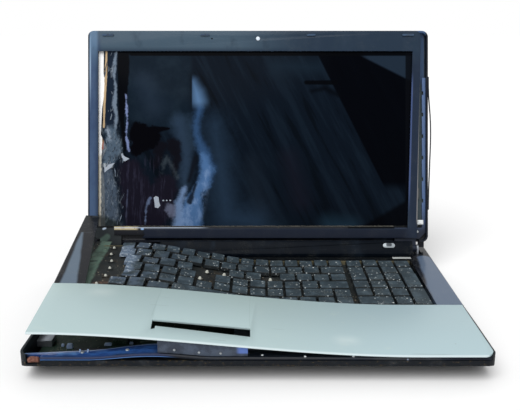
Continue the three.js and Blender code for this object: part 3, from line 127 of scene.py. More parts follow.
class Look:
    """A material and the few node shapes that all of them share."""

    def __init__(self, name, colour, roughness, metallic=0.0, specular=0.5, place=BASE):
        self.material = bpy.data.materials.new(name)
        self.material.use_nodes = True
        self.tree = self.material.node_tree
        self.shader = self.tree.nodes["Principled BSDF"]
        self.shader.inputs["Metallic"].default_value = metallic
        self.shader.inputs["Specular IOR Level"].default_value = specular
        self.colour = rgb(*colour)
        self.rough = roughness
        self.height = None
        where = self.node("TexCoord").outputs["Object"]
        loc, rot, _ = place.decompose()
        frame_of = {"Vector": where, "Location": loc, "Rotation": rot.to_euler(), "Scale": (MM, MM, MM)}
        self.point = self.node("Mapping", frame_of, vector_type="TEXTURE").outputs[0]
        self.x, self.y, self.z = self.node("SeparateXYZ", {0: self.point}).outputs
        # Strokes lie in the plane of x and this
        self.second = self.z if place is LID else self.y

    def node(self, kind, inputs=None, **settings):
        return put(self.tree, "ShaderNode" + kind, inputs, **settings)

    def math(self, kind, a, b=0.0, c=0.0):
        return self.node("Math", {0: a, 1: b, 2: c}, operation=kind).outputs[0]

    def vector(self, kind, a, b=(0, 0, 0)):
        return self.node("VectorMath", {0: a, 1: b}, operation=kind)

    def stretch(self, x, y, z):
        return self.vector("MULTIPLY", self.point, (x, y, z)).outputs[0]

    def noise(self, scale, detail, rough, at=None, warp=0.0):
        """Noise with one lump per 1/scale millimetres, 0 to 1."""
        return self.node("TexNoise", {
            "Vector": at or self.point, "Scale": scale, "Detail": detail, "Roughness": rough,
            "Distortion": warp}).outputs[0]

    def blots(self, scale, detail, rough, low, high, stretch=None, warp=0.0):
        """Noise in stretched space, faded from 0 at low to 1 at high."""
        at = self.stretch(*stretch) if stretch else None
        return self.fade(self.noise(scale, detail, rough, at, warp), low, high)

    def ragged(self, scale, detail, rough, amount):
        """Noise about zero, to fray the edge of a stroke by some millimetres."""
        level = self.math("SUBTRACT", self.noise(scale, detail, rough), 0.5)
        return self.math("MULTIPLY", level, amount)

    def cells(self, scale):
        """Distance to the nearest of scattered points, in lumps of 1/scale millimetres."""
        made = self.node("TexVoronoi", {"Vector": self.point, "Scale": scale})
        return made.outputs["Distance"]

    def fade(self, value, low, high):
        """0 at low and 1 at high, held outside; low may be the larger."""
        ends = {"Value": value, "From Min": low, "From Max": high}
        return self.node("MapRange", ends, interpolation_type="SMOOTHSTEP").outputs[0]

    def both(self, *masks):
        """1 where all masks are; (axis, low, high) stands for a fade along an axis."""
        masks = [self.fade(getattr(self, m[0]), *m[1:]) if isinstance(m, tuple) else m for m in masks]
        out = masks[0]
        for other in masks[1:]:
            out = self.math("MULTIPLY", out, other)
        return out

    def span(self, value, low, high, soft):
        """1 between low and high."""
        rise = self.fade(value, low - soft, low + soft)
        return self.both(rise, self.fade(value, high + soft, high - soft))

    def paint(self, mask, colour, strength=1.0):
        """Lays a colour over the ones so far, where the mask or all of a list of masks are 1."""
        mask = self.both(*(mask if isinstance(mask, list) else [mask]))
        if isinstance(colour, tuple):
            colour = rgb(*colour)
        factor = self.math("MULTIPLY", mask, strength) if strength != 1.0 else mask
        layers = {MIX_FACTOR: factor, MIX_UNDER: self.colour, MIX_OVER: colour}
        self.colour = self.node("Mix", layers, data_type="RGBA").outputs[MIX_RESULT]
        return self

    def roughen(self, mask, amount):
        self.rough = self.math("MULTIPLY_ADD", mask, amount, self.rough)
        return self

    def lumps(self, amount, scale, detail, rough):
        """Raises noise by up to amount millimetres."""
        return self.raise_by(self.noise(scale, detail, rough), amount)

    def raise_by(self, mask, amount):
        """Adds amount millimetres of height where the mask is 1."""
        scaled = self.math("MULTIPLY", mask, amount)
        self.height = scaled if self.height is None else self.math("ADD", self.height, scaled)
        return self

    def line_mask(self, points, soft, wobble=None):
        """1 inside a chain of rounded strokes: (x, y, radius) on the base, (x, height, radius) on the lid."""
        flat = self.node("CombineXYZ", {0: self.x, 1: self.second}).outputs[0]
        nearest = None
        for (ax, ay, ar), (bx, by, br) in zip(points, points[1:]):
            along = Vector((bx - ax, by - ay, 0))
            size = max(along.length_squared, 1e-6)
            offset = self.vector("SUBTRACT", flat, (ax, ay, 0)).outputs[0]
            share = self.vector("DOT_PRODUCT", offset, tuple(along / size)).outputs["Value"]
            share = self.node("Clamp", {0: share}).outputs[0]
            foot = self.node("VectorMath", {0: tuple(along), "Scale": share}, operation="SCALE")
            gap = self.vector("SUBTRACT", offset, foot.outputs[0]).outputs[0]
            length = self.vector("LENGTH", gap).outputs["Value"]
            radius = self.math("MULTIPLY_ADD", share, br - ar, ar)
            distance = self.math("SUBTRACT", length, radius)
            nearest = distance if nearest is None else self.math("MINIMUM", nearest, distance)
        if wobble is not None:
            nearest = self.math("ADD", nearest, wobble)
        return self.fade(nearest, soft, -soft)

    def stroke(self, colour, strength, points, soft, wobble=None):
        """Paints such strokes and hands out their mask."""
        mask = self.line_mask(points, soft, wobble)
        self.paint(mask, colour, strength)
        return mask

    def facing_up(self, low, high):
        """0 on faces that lean, 1 on faces that lie flat."""
        normal = self.node("NewGeometry").outputs["Normal"]
        return self.fade(self.node("SeparateXYZ", {0: normal}).outputs[2], low, high)

    def dust(self, amount=0.3, colour=(150, 150, 140), scale=0.05):
        """Fine pale grains in drifts."""
        cloud = self.blots(scale, 6, 0.7, 0.45, 0.75)
        fine = self.blots(1.4, 3, 0.6, 0.52, 0.62)
        self.paint([cloud, fine], colour, amount)
        self.roughen(cloud, 0.2 * amount)
        return self

    def specks(self, scale, size, colour, share=0.5, strength=0.9):
        """Round spots in some places and not in others."""
        spots = self.fade(self.cells(scale), size, size * 0.6)
        some = self.blots(scale * 0.31, 2, 0.5, share, share + 0.04)
        self.paint([spots, some], colour, strength)
        return self

    def done(self, bump=0.4):
        """Joins the layers to the shader and hands out the material."""
        ends = {"Base Color": self.colour, "Roughness": self.node("Clamp", {0: self.rough}).outputs[0]}
        if self.height is not None:
            relief = {"Height": self.height, "Strength": bump, "Distance": MM}
            ends["Normal"] = self.node("Bump", relief).outputs[0]
        for name, socket in ends.items():
            self.tree.links.new(socket, self.shader.inputs[name])
        return self.material


# Plastics
def gloss_black(name, colour, place=BASE, rough=0.16, specular=0.12):
    look = Look(name, colour, rough, specular=specular, place=place)
    smear = look.noise(0.02, 5, 0.65, look.stretch(1, 0.35, 0.6), warp=1.2)
    look.paint(look.fade(smear, 0.5, 0.8), (52, 66, 82), 0.3)
    look.roughen(look.fade(smear, 0.4, 0.8), 0.14)
    look.paint(look.blots(0.9, 2, 0.5, 0.72, 0.78, (0.04, 1, 1)), (110, 120, 130), 0.3)
    look.lumps(0.03, 0.25, 3, 0.5)
    return look


def wing_plastic():
    """Black frame whose wings carry a painted blue-grey sky reflection over their middle, with a painted
    highlight at the left tip, and whose rear strip is darkened as painted shade and reflection of the lid.
    """
    look = gloss_black("case_gloss", (15, 18, 25))
    ragged = look.ragged(0.04, 4, 0.6, 5.0)
    # Painted reflection: blue-grey sky over the middle of the right wing
    look.stroke((92, 108, 130), 0.9, [(176, 96, 13), (178, 150, 11), (180.5, 219, 7)], 2, ragged)
    less = look.math("MULTIPLY", ragged, 0.4)
    # Painted reflection: the same blue-grey sky over the left wing
    film_and_reflection = [(-172.5, 96, 7.6), (-176.6, 142, 4.3), (-179.5, 169, 2.7), (-181.2, 190, 1)]
    look.stroke((96, 112, 128), 0.9, film_and_reflection, 1.5, less)
    # Painted highlight at the rear tip of the left wing
    look.stroke((170, 180, 190), 0.7, [(-177, 226, 1.5), (-174, 226.5, 1.5)], 2)
    # Painted shade and reflection of the lid: the rear strip darkened, left of the right wing
    look.paint([("y", 214, 218), ("x", 168, 164)], (20, 23, 25), 0.9)
    return look.dust(0.25).done(0.3)


def lid_plastic():
    """Lid shell: dark gloss outside, bare grey where the inside shows beside the right rail."""
    look = gloss_black("lid_gloss", (17, 21, 30), LID)
    bare = look.both(("y", 9.4, 9.0), look.span(look.x, 174, 186, 1), ("z", 28, 34))
    look.paint(bare, (78, 92, 98), 0.9)
    look.paint([bare, ("z", 186, 192)], (62, 86, 122), 0.9)
    return look.dust(0.2).done(0.25)


def bezel_plastic():
    """Dark slate frame with painted sky reflections: paler at its top left, bluer down its left side with
    painted highlight lines, and painted highlight lines along its right bar.
    """
    look = gloss_black("bezel_gloss", (36, 50, 66), LID, 0.14, 0.08)
    top = look.fade(look.z, 222, 230)
    # Painted reflection: the top bar paler towards the left
    look.paint([top, ("x", 60, -40)], (68, 86, 101), 0.95)
    # Painted reflection down the left bar: bluer, in bands, with a painted highlight line along its outer
    # edge and a paler top end
    look.paint([("x", -176, -182), ("z", 242, 200)], (68, 88, 118), 0.9)
    look.paint([("x", -170, -180), look.blots(0.035, 4, 0.6, 0.4, 0.65, (1, 1, 0.5))], (44, 58, 88), 0.8)
    look.paint([("x", -184.6, -186), ("z", 150, 215), ("z", 243, 238)], (150, 172, 196), 0.9)
    look.paint([("x", -176, -180), ("z", 200, 236)], (96, 124, 152), 0.7)
    look.paint(("x", -186.3, -187.1), (22, 28, 40), 0.9)
    look.paint(("z", 30, 25), (25, 31, 45), 0.95)
    look.paint([("x", 160, 172), ("z", 225, 205)], (33, 43, 60), 0.9)
    across = look.math("MULTIPLY_ADD", look.z, -0.0265, look.x)
    # Painted highlights: a blue line along the right bar's inner edge and a pale line along its outer edge
    look.paint([look.span(across, 165.2, 167.0, 0.4), ("z", 205, 180), ("z", 40, 80)], (72, 88, 130), 0.8)
    look.paint([look.span(across, 174.6, 175.8, 0.3), ("z", 215, 190), ("z", 30, 40)], (150, 148, 148), 0.7)
    look.paint([top, look.blots(0.05, 3, 0.5, 0.55, 0.7, (1, 0, -0.6))], (40, 54, 68), 0.5)
    return look.dust(0.15).done(0.25)


def trim_plastic():
    """Front ledge: a painted blue sky reflection with painted highlights along the edges of the bowed left
    part, near black to the right.
    """
    look = gloss_black("trim_gloss", (18, 22, 30), rough=0.12)
    ragged = look.ragged(0.05, 5, 0.65, 8.0)
    left = look.fade(look.x, -62, -80)
    # Painted sky reflection: blue over the bowed left part, with darker blue blots
    blue = look.stroke((54, 96, 162), 0.95, [(-176, 8, 5), (-120, 9, 6), (-84, 11, 7)], 5, ragged)
    look.paint([blue, look.blots(0.06, 4, 0.6, 0.42, 0.6, (1, 3, 1))], (24, 42, 96), 0.75)
    # Painted highlight: a paler blue streak on that reflection
    look.stroke((104, 150, 206), 0.7, [(-158, 7, 2), (-146, 8, 2.5)], 3, ragged)
    # Painted highlight along the back edge of the bowed left part
    back = look.math("SUBTRACT", look.y, look.math("MULTIPLY_ADD", look.x, 0.0963, 25.9))
    look.paint([left, look.fade(back, -1.6, -0.7)], (124, 150, 196), 0.8)
    look.stroke((70, 72, 74), 0.6, [(96, 3, 3), (138, 3, 4)], 9, ragged)
    off = look.math("DIVIDE", look.math("SUBTRACT", look.x, BOW_MIDDLE), BOW_HALF)
    hump = look.math("MAXIMUM", look.math("SUBTRACT", 1.0, look.math("MULTIPLY", off, off)), 0.0)
    bow = look.math("MULTIPLY", look.math("MULTIPLY", hump, hump), BOW_HEIGHT)
    up = look.math("SUBTRACT", look.z, bow)
    face = look.fade(look.y, 2.2, 1.2)
    look.paint([left, face], (20, 32, 66), 0.9)
    # Painted highlight: a pale line along the top of the bowed face
    look.paint([left, face, look.span(up, 19.8, 20.4, 0.15)], (84, 124, 182), 0.85)
    look.specks(0.08, 0.12, (160, 172, 196), 0.5, 0.7)
    return look.done(0.3)


def matt_black(name, colour=(19, 23, 27), rough=0.5):
    look = Look(name, colour, rough, specular=0.15)
    grain = look.noise(2.6, 2, 0.6)
    look.raise_by(grain, 0.05).roughen(grain, 0.12)
    look.paint(look.blots(0.03, 5, 0.6, 0.4, 0.8), (42, 46, 50), 0.5)
    return look.dust(0.25)


def case_matt():
    """Bottom shell, with brown grit along its broken front."""
    look = matt_black("case_matt")
    front = look.fade(look.y, 14, 2)
    look.paint(front, (8, 14, 21), 0.8)
    look.paint([front, look.blots(0.35, 5, 0.7, 0.56, 0.66)], (96, 82, 58), 0.7)
    look.paint([front, look.blots(0.06, 5, 0.7, 0.55, 0.68)], (58, 62, 66), 0.6)
    look.paint([("x", -180, -184), ("z", 17, 20)], (36, 43, 47), 0.7)
    return look.done(0.5)


def steel(name, colour, rough=0.34, place=BASE, stretch=(0.05, 1, 1), metal=0.85):
    look = Look(name, colour, rough, metallic=metal, specular=0.3, place=place)
    brushed = look.noise(3.0, 2, 0.6, look.stretch(*stretch))
    look.raise_by(brushed, 0.02).roughen(brushed, 0.14)
    look.paint(look.blots(0.06, 5, 0.6, 0.45, 0.7), (72, 70, 66), 0.35)
    return look.dust(0.25)


def circuit_board(name, place=BASE):
    look = Look(name, (24, 42, 34), 0.5, specular=0.2, place=place)
    blocks = look.node("TexBrick", {
        "Vector": look.point, "Scale": 0.24, "Color1": rgb(20, 34, 28), "Color2": rgb(30, 52, 40),
        "Mortar": rgb(48, 66, 54)})
    look.paint(look.blots(0.08, 2, 0.5, 0.35, 0.6), blocks.outputs[0], 0.8)
    look.raise_by(blocks.outputs[1], 0.05)
    look.specks(0.4, 0.16, (190, 184, 150))
    return look.dust(0.5).done()


def silver_panel():
    """Palm rest: clouded silver with two dents, two grooves and a painted highlight along its front edge."""
    look = Look("silver_panel", (176, 197, 197), 0.42, metallic=0.1, specular=0.4)
    grain = look.noise(2.2, 3, 0.6, look.stretch(0.02, 1, 1))
    look.raise_by(grain, 0.012).roughen(grain, 0.1)
    look.paint(look.blots(0.012, 4, 0.55, 0.35, 0.65), (178, 199, 198), 0.7)
    look.paint(("x", -20, 120), (172, 196, 204), 0.8)
    look.paint(("y", 96, 55), (172, 193, 197), 0.4)
    look.paint(look.blots(0.05, 6, 0.7, 0.58, 0.8), (196, 208, 202), 0.5)
    for x, y, size in ((-141.8, 79.7, 16), (69.3, 23.2, 13)):
        look.raise_by(look.stroke((222, 232, 230), 0.55, [(x, y, 1), (x + 6, y, 1)], size), -0.5)
    for line in ([(-88.6, 40, 0.25), (-87.4, 96, 0.25)], [(-7, 36, 0.25), (-7.2, 96, 0.25)]):
        look.raise_by(look.stroke((150, 170, 170), 0.3, line, 0.35), -0.1)
    # Painted highlight along the front edge
    look.paint(("y", 2.0, 0.7), (214, 226, 229), 0.6)
    look.paint(look.blots(0.35, 2, 0.5, 0.72, 0.76, (0.05, 1, 1)), (140, 156, 156), 0.35)
    look.specks(0.05, 0.05, (110, 118, 112), 0.55, 0.6)
    return look.done(0.6)


def rusty():
    look = Look("rust", (100, 66, 56), 0.85, specular=0.2)
    lumps = look.noise(0.6, 6, 0.7)
    look.paint(look.fade(lumps, 0.4, 0.65), (142, 100, 88))
    look.paint(look.blots(0.9, 4, 0.6, 0.55, 0.7), (58, 40, 34))
    look.raise_by(lumps, 0.5)
    return look.done(1.0)


# Colour, strength, edge softness, edge waviness and strokes of the marks under and over the display's flare,
# a painted sky reflection
MARKS_UNDER = [
    ((41, 57, 76), 0.85, 7, 8, [(-88, 146, 8), (-80, 118, 7), (-80, 92, 6), (-83, 76, 4)]),
    ((35, 50, 66), 0.8, 8, 8, [(-76, 146, 5), (-75, 122, 4)]),
    ((38, 56, 76), 0.9, 24, 9, [(-48, 142, 4), (-42, 104, 6), (-40, 70, 8), (-34, 40, 12), (-4, 34, 8)]),
    ((35, 47, 62), 0.6, 14, 9, [(-128, 190, 10), (-116, 164, 12)]),
    ((22, 20, 31), 0.95, 4, 9, [(-143.5, 92, 12), (-133, 62, 19.5), (-128, 32, 20), (-103, 72.7, 14),
        (-112, 40, 12)]),
    ((13, 13, 20), 0.95, 2.5, 8, [(-94, 119, 8), (-89.5, 105.6, 5.2), (-94, 87.6, 1.8)]),
    ((13, 13, 20), 0.95, 2.5, 8, [(-109, 117.6, 6.7), (-113.5, 96.6, 3)]),
    ((4, 4, 8), 1.0, 1.6, 9, [(-133, 132.6, 12), (-122.5, 128, 13), (-134.5, 116, 8)]),
    ((4, 4, 8), 1.0, 1.2, 3, [(-114, 137, 4), (-98.5, 138.3, 0.4)]),
    # The flare's blue strokes, a painted sky reflection
    ((48, 76, 112), 0.9, 4.5, 5, [(-64.8, 161, 3.4), (-69.3, 141.6, 2.6), (-67.8, 129.6, 3.4),
        (-59.6, 111.6, 5.5), (-55.8, 93.6, 7.8), (-58.8, 80, 7)]),
    ((74, 108, 152), 0.9, 4, 7, [(-61, 108, 3), (-56, 93, 6), (-59, 80, 5.5), (-68.6, 65, 6.5),
        (-73, 50, 10.5), (-77.5, 29, 14)]),
    ((112, 138, 176), 0.8, 3, 6, [(-82, 71, 2.4), (-88, 56, 4), (-88, 30, 6)]),
    ((98, 104, 126), 0.8, 3, 9, [(-97, 49, 5.5), (-95, 42, 4)]),
    ((62, 72, 80), 0.5, 3, 9, [(-107, 90, 0.8), (-101.5, 107, 1.2), (-90, 84, 1)]),
    ((104, 120, 152), 0.7, 1.2, 5, [(-119.5, 61, 0.8), (-124, 51.7, 1), (-125.5, 32, 1)]),
    ((70, 76, 98), 0.7, 0.9, 2, [(-145, 70, 0.7), (-146.5, 40, 0.7)]),
]
MARKS_OVER = [
    ((14, 18, 26), 0.9, 2, 3, [(-69.3, 105.6, 3), (-76.8, 80, 2)]),
    ((14, 18, 26), 0.92, 1.6, 3, [(-69.5, 76, 1.2), (-75.8, 57, 3)]),
    ((24, 34, 48), 0.95, 1.5, 2, [(-162.5, 224, 6), (-164, 140, 7)]),
    ((112, 126, 142), 0.9, 1.2, 4, [(-157.5, 224, 1), (-160.7, 200, 1.8), (-158, 185, 1.3),
        (-159.6, 165, 2.4), (-157.2, 152, 1.5), (-159, 135, 1.5)]),
    ((5, 6, 10), 0.97, 1.2, 2.5, [(-149.5, 225, 6.6), (-150.2, 189, 6.2), (-151.7, 156, 3.7),
        (-148, 114, 1.3)]),
    ((124, 138, 180), 0.85, 1.0, 4.5, [(-147.1, 176, 0.2), (-145.6, 152, 1.4), (-146.3, 129, 1.2),
        (-143.5, 113, 0.9)]),
    ((76, 92, 108), 0.92, 2.5, 7, [(-163, 134, 6.5), (-160.7, 114, 9), (-167, 102, 6)]),
    ((150, 162, 178), 0.75, 2, 7, [(-167, 137, 1.5), (-165, 127, 2.6)]),
    ((68, 80, 95), 0.92, 2.5, 5, [(-167.4, 88, 6), (-164.4, 62, 8.5), (-164.4, 36, 8.5)]),
    ((170, 178, 184), 0.9, 1.2, 3, [(-170, 97, 2.6), (-163, 96, 1)]),
    ((190, 164, 128), 0.9, 0.4, 0.8, [(-168.4, 226, 1.2), (-169.4, 190, 1.3), (-170.8, 165, 1.2),
        (-171.4, 140, 1)]),
    ((3, 4, 7), 0.95, 0.9, 0.6, [(53.5, 189.5, 2.2), (86.5, 189.5, 2.6)]),
    ((4, 6, 11), 0.8, 3, 2, [(60, 180, 2), (75, 183, 2.5), (88, 176, 3)]),
    ((4, 5, 8), 0.97, 0.8, 0, [(-140, 222.5, 3.4), (175, 222.5, 3.4)]),
    ((8, 10, 15), 0.9, 0.8, 0, [(169, 226, 5), (169, 30, 5)]),
]
CORNER_SHADE = [(-177, 34, 8), (-159, 31, 5)]
# Colour, edge softness and strokes of the faint painted reflections, pale patches on the dark panel
DISPLAY_PALE_REFLECTIONS = [
    ((22, 35, 47), 14, [(22, 208, 6), (66, 206, 4)]),
    ((30, 51, 66), 13, [(78, 33, 5), (104, 30, 5)]),
    ((23, 32, 43), 16, [(-6, 100, 4), (6, 36, 6)]),
    ((21, 23, 34), 14, [(34, 106, 6), (48, 58, 8)]),
    ((22, 34, 46), 10, [(-4, 34, 8), (24, 30, 6)]),
]


def display():
    """Dark panel with painted reflection streaks, a black bruise, a blue flare of painted sky reflection and
    the grey crushed side.
    """
    look = Look("display", (11, 19, 29), 0.22, specular=0.012, place=LID)
    x, s = look.x, look.z
    wave = look.math("ADD", look.ragged(0.28, 5, 0.7, 0.5), look.ragged(0.07, 5, 0.65, 1.0))

    def draw(marks):
        for colour, strength, soft, wavy, strokes in marks:
            edge = look.math("MULTIPLY", wave, 1.3 * wavy)
            look.stroke(colour, strength, strokes, soft, edge)

    lean = look.math("MULTIPLY_ADD", s, 0.503, x)
    drawn = look.node("CombineXYZ", {0: lean, 2: look.math("MULTIPLY", s, 0.12)}).outputs[0]
    # Painted reflections: paler and darker streaks along the panel's lean
    reflection_streaks = look.noise(0.07, 4, 0.6, drawn)
    look.paint(look.fade(reflection_streaks, 0.5, 0.64), (18, 28, 39), 0.8)
    look.paint(look.fade(reflection_streaks, 0.46, 0.36), (5, 9, 15), 0.7)
    # Painted reflections: faint pale patches
    for colour, soft, strokes in DISPLAY_PALE_REFLECTIONS:
        look.stroke(colour, 0.85, strokes, soft)
    look.paint([look.fade(lean, 176.3, 178.4), ("z", 66, 80)], (2, 3, 7), 0.95)
    patch = look.math("MULTIPLY_ADD", x, 0.5024, s)
    look.paint([look.fade(patch, 275, 278.4), ("x", 108, 124)], (32, 44, 58), 0.9)
    foot = look.math("MULTIPLY_ADD", x, -0.59, s)
    look.paint([look.fade(foot, -35.5, -42.5), ("x", 106, 116)], (3, 4, 8), 0.9)
    slope = look.math("MULTIPLY_ADD", look.math("ADD", x, 142.0), 0.3, s)
    corner = look.both(look.fade(slope, 142, 152), ("x", -71, -80))
    look.paint(corner, (16, 27, 38), 0.95)
    look.paint([corner, look.blots(0.04, 5, 0.6, 0.4, 0.7)], (26, 38, 49), 0.7)
    draw(MARKS_UNDER)
    # Painted sky reflection: a pale blue cloud low on the flare, and the flare's upper end
    cloud = look.blots(0.11, 5, 0.65, 0.46, 0.66, (1, 1, 0.55))
    low = look.line_mask([(-58, 92, 5), (-72, 50, 10), (-80, 30, 14)], 6)
    look.paint([low, cloud], (122, 148, 186), 0.6)
    flare = look.line_mask([(-72, 190, 1), (-68, 177, 5), (-66, 168, 6)], 9)
    look.paint([flare, ("x", -74.2, -72.4), ("z", 156, 170)], (88, 122, 162), 0.9)
    draw(MARKS_OVER)
    fine = look.blots(0.35, 5, 0.7, 0.5, 0.66, (1, 1, 0.12))
    look.paint([("x", -84, -104), ("z", 112, 96), ("x", -156, -150), fine], (44, 44, 60), 0.7)
    side = look.both(("x", -149, -156), ("z", 148, 130))
    splinter = look.blots(0.3, 6, 0.75, 0.5, 0.68, (1, 1, 0.35), warp=0.5)
    look.paint([side, splinter], (124, 134, 144), 0.6)
    pits = look.blots(0.4, 5, 0.7, 0.52, 0.62, (1, 1, 0.6))
    look.paint([side, pits], (30, 36, 44), 0.6)
    shade = look.stroke((30, 36, 37), 0.9, CORNER_SHADE, 3, look.math("MULTIPLY", wave, 8.0))
    look.paint([shade, splinter], (70, 82, 84), 0.6)
    look.roughen(side, 0.3)
    look.raise_by(look.both(side, splinter), 0.25)
    look.lumps(0.03, 0.05, 3, 0.5)
    look.specks(0.09, 0.05, (96, 108, 120), 0.62, 0.5)
    return look.done(0.7)


def rail_steel():
    """Lid rails: navy steel, duller at the foot of the broken left side, with a painted highlight on that
    foot.
    """
    look = steel("rail_steel", (50, 66, 96), 0.4, LID, (1, 1, 0.05), 0.3)
    look.paint([("x", 180, 185), ("z", 30, 60)], (84, 108, 148), 0.8)
    look.paint([("x", 0, -10), ("z", 44, 30)], (26, 32, 32), 0.95)
    look.stroke((70, 90, 82), 0.85, [(-173, 13, 4), (-168, 18, 3)], 1.5)
    # Painted highlight: a bright glint on the left rail's foot
    look.stroke((186, 202, 220), 0.9, [(-172.5, 26.5, 0.9), (-170.5, 27.5, 1.2)], 0.8)
    look.paint([("x", 0, 10), ("z", 34, 22)], (24, 30, 42), 0.9)
    return look.done()


def bracket_steel():
    """Touchpad bracket: dull grey-blue sheet with a painted bright blue reflection along the top edge of its
    right end.
    """
    look = steel("bracket_steel", (70, 80, 96), 0.45, metal=0.3)
    look.paint(look.blots(0.08, 5, 0.65, 0.42, 0.6), (40, 46, 58), 0.7)
    # Painted reflection: bright blue along the top edge of the right end
    look.paint([("x", -18, -14), ("z", 24, 26)], (92, 120, 190), 0.8)
    look.specks(0.07, 0.12, (170, 178, 190), 0.45, 0.9)
    return look.done()


def button_look():
    """Bright ring round a dark dished middle."""
    look = steel("button_chrome", (150, 158, 164), 0.3, metal=0.4)
    low, high = (BASE.inverted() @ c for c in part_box("power_button"))
    mid = (low + high) / 2
    look.stroke((44, 50, 56), 0.95, [(mid.x - 2, mid.y - 1, 1.1), (mid.x + 2, mid.y - 1, 1.1)], 0.5)
    return look.done()


def key_plastic():
    """Charcoal caps with tops painted paler than their dark flanks where light falls on them, dust, and a
    bluish crushed patch at the left, partly painted highlight.
    """
    look = Look("key_plastic", (25, 30, 33), 0.5, specular=0.15)
    # Painted light: upward faces paler than the flanks, with paler blots on them
    top = look.facing_up(0.8, 0.97)
    look.paint(top, (49, 60, 67), 0.95)
    grain = look.noise(3.0, 2, 0.6)
    look.raise_by(grain, 0.04).roughen(grain, 0.15)
    look.paint([top, look.blots(0.09, 4, 0.6, 0.42, 0.7)], (73, 87, 96), 0.8)
    # Painted highlight: bluish blots on the tops at the left
    look.paint([("x", -60, -150), look.blots(0.045, 4, 0.6, 0.42, 0.58), top], (84, 98, 118), 0.6)
    # The crushed patch: pale crushed keys with white specks, part of it a painted bluish-white highlight
    ragged = look.ragged(0.12, 5, 0.65, 20.0)
    crushed = [(-137, 200, 6), (-135, 180, 9), (-134, 160, 11), (-129, 138, 7)]
    pale = look.stroke((112, 130, 150), 0.7, crushed, 4, ragged)
    look.paint([pale, look.blots(0.25, 5, 0.7, 0.52, 0.64)], (196, 206, 216), 0.6)
    look.paint([pale, look.blots(0.3, 4, 0.6, 0.55, 0.65, (1, 1, 2))], (40, 58, 92), 0.7)
    look.specks(0.22, 0.22, (182, 190, 192), 0.45, 0.85)
    look.specks(0.42, 0.22, (150, 152, 146), 0.5, 0.7)
    look.specks(0.11, 0.12, (218, 222, 220), 0.42, 0.9)
    return look.dust(0.6, (118, 120, 112), 0.07).done(0.5)


def plate_metal():
    """Buckled plate: grey-green bare strip along its left edge, dark and dirty under the keys."""
    look = Look("plate_metal", (32, 36, 37), 0.6, specular=0.15)
    ragged = look.ragged(0.09, 5, 0.65, 4.0)
    bare = [(-166, 96, 9), (-165.5, 130, 8), (-165.5, 160, 6.5), (-165, 232, 6)]
    strip = look.stroke((104, 130, 117), 0.95, bare, 1.5, ragged)
    look.paint([strip, look.blots(0.07, 5, 0.65, 0.48, 0.68)], (66, 82, 75), 0.7)
    look.stroke((16, 18, 18), 0.9, [(-170, 169, 2.5), (-164, 170, 1.5)], 1.5, ragged)
    look.paint(look.blots(0.08, 5, 0.7, 0.5, 0.66), (62, 54, 44), 0.5)
    red = look.line_mask([(-150, 110, 3), (-143, 114, 4)], 4, ragged)
    look.paint([red, look.blots(0.2, 4, 0.6, 0.4, 0.6)], (112, 84, 66), 0.8)
    look.specks(0.25, 0.2, (170, 160, 140), 0.52, 0.8)
    look.lumps(0.2, 0.5, 5, 0.6)
    return look.dust(0.5).done(0.6)


def white_sheet():
    """Backlight margin: white, with a tan film strip beside the glass."""
    look = Look("backlight_sheet", (252, 252, 252), 0.5, specular=0.3, place=LID)
    ragged = look.ragged(0.25, 4, 0.6, 1.0)
    strip = [(-168.4, 226, 1.4), (-169.6, 190, 1.5), (-171, 165, 1.4), (-171.8, 142, 1.1), (-173.4, 114, 0.7)]
    tan = look.stroke((190, 164, 128), 1.0, strip, 0.5, ragged)
    look.paint([tan, look.blots(0.15, 4, 0.6, 0.5, 0.62, (1, 1, 0.3))], (112, 92, 76), 0.8)
    look.paint(("z", 112, 106), (214, 206, 184), 0.8)
    rough = look.math("MULTIPLY", ragged, 3.0)
    crushed = [(-169, 134, 1.5), (-168.5, 108, 6.2), (-168.5, 20, 6.6)]
    gap = look.stroke((70, 80, 90), 0.95, crushed, 0.6, rough)
    splinter = look.blots(0.3, 6, 0.75, 0.5, 0.66, (1, 1, 0.35), warp=0.5)
    look.paint([gap, splinter], (128, 140, 152), 0.7)
    pits = look.blots(0.4, 5, 0.7, 0.52, 0.62, (1, 1, 0.6))
    look.paint([gap, pits], (30, 36, 44), 0.7)
    look.stroke((60, 110, 70), 0.8, [(-172.5, 127, 1), (-172.5, 124, 1)], 0.6)
    look.stroke((150, 70, 50), 0.6, [(-171.6, 138, 1), (-173, 116, 1)], 0.5, ragged)
    # Painted shade: the white sheet darkened right of x 150, behind the right bezel and rail
    look.paint(("x", 150, 152), (74, 78, 80), 0.97)
    look.stroke((34, 40, 40), 0.9, CORNER_SHADE, 3, rough)
    look.lumps(0.08, 0.4, 4, 0.6)
    return look.done()


def tan_board():
    """Driver card: bare cream film beside the broken bezel, a painted glint, a painted highlight along an
    edge, dark elsewhere.
    """
    look = Look("driver_board", (26, 28, 34), 0.5, specular=0.15, place=LID)
    film_and_reflection = look.both(("x", -132, -137), ("z", 25, 26.6))
    look.paint(film_and_reflection, (204, 190, 150), 0.95)
    look.paint([film_and_reflection, look.blots(0.2, 4, 0.6, 0.45, 0.6)], (150, 136, 122), 0.7)
    # Painted glint: a small blue-white spot
    look.stroke((150, 188, 236), 0.9, [(-129.4, 26.6, 1), (-128, 26.6, 1)], 0.6)
    # Painted highlight: a bright line along the card's top edge
    look.paint([look.span(look.z, 27.4, 28.4, 0.3), ("x", -52, -70)], (176, 188, 204), 0.85)
    look.specks(0.3, 0.2, (88, 84, 66), 0.5)
    look.lumps(0.1, 0.6, 3, 0.5)
    return look.done()


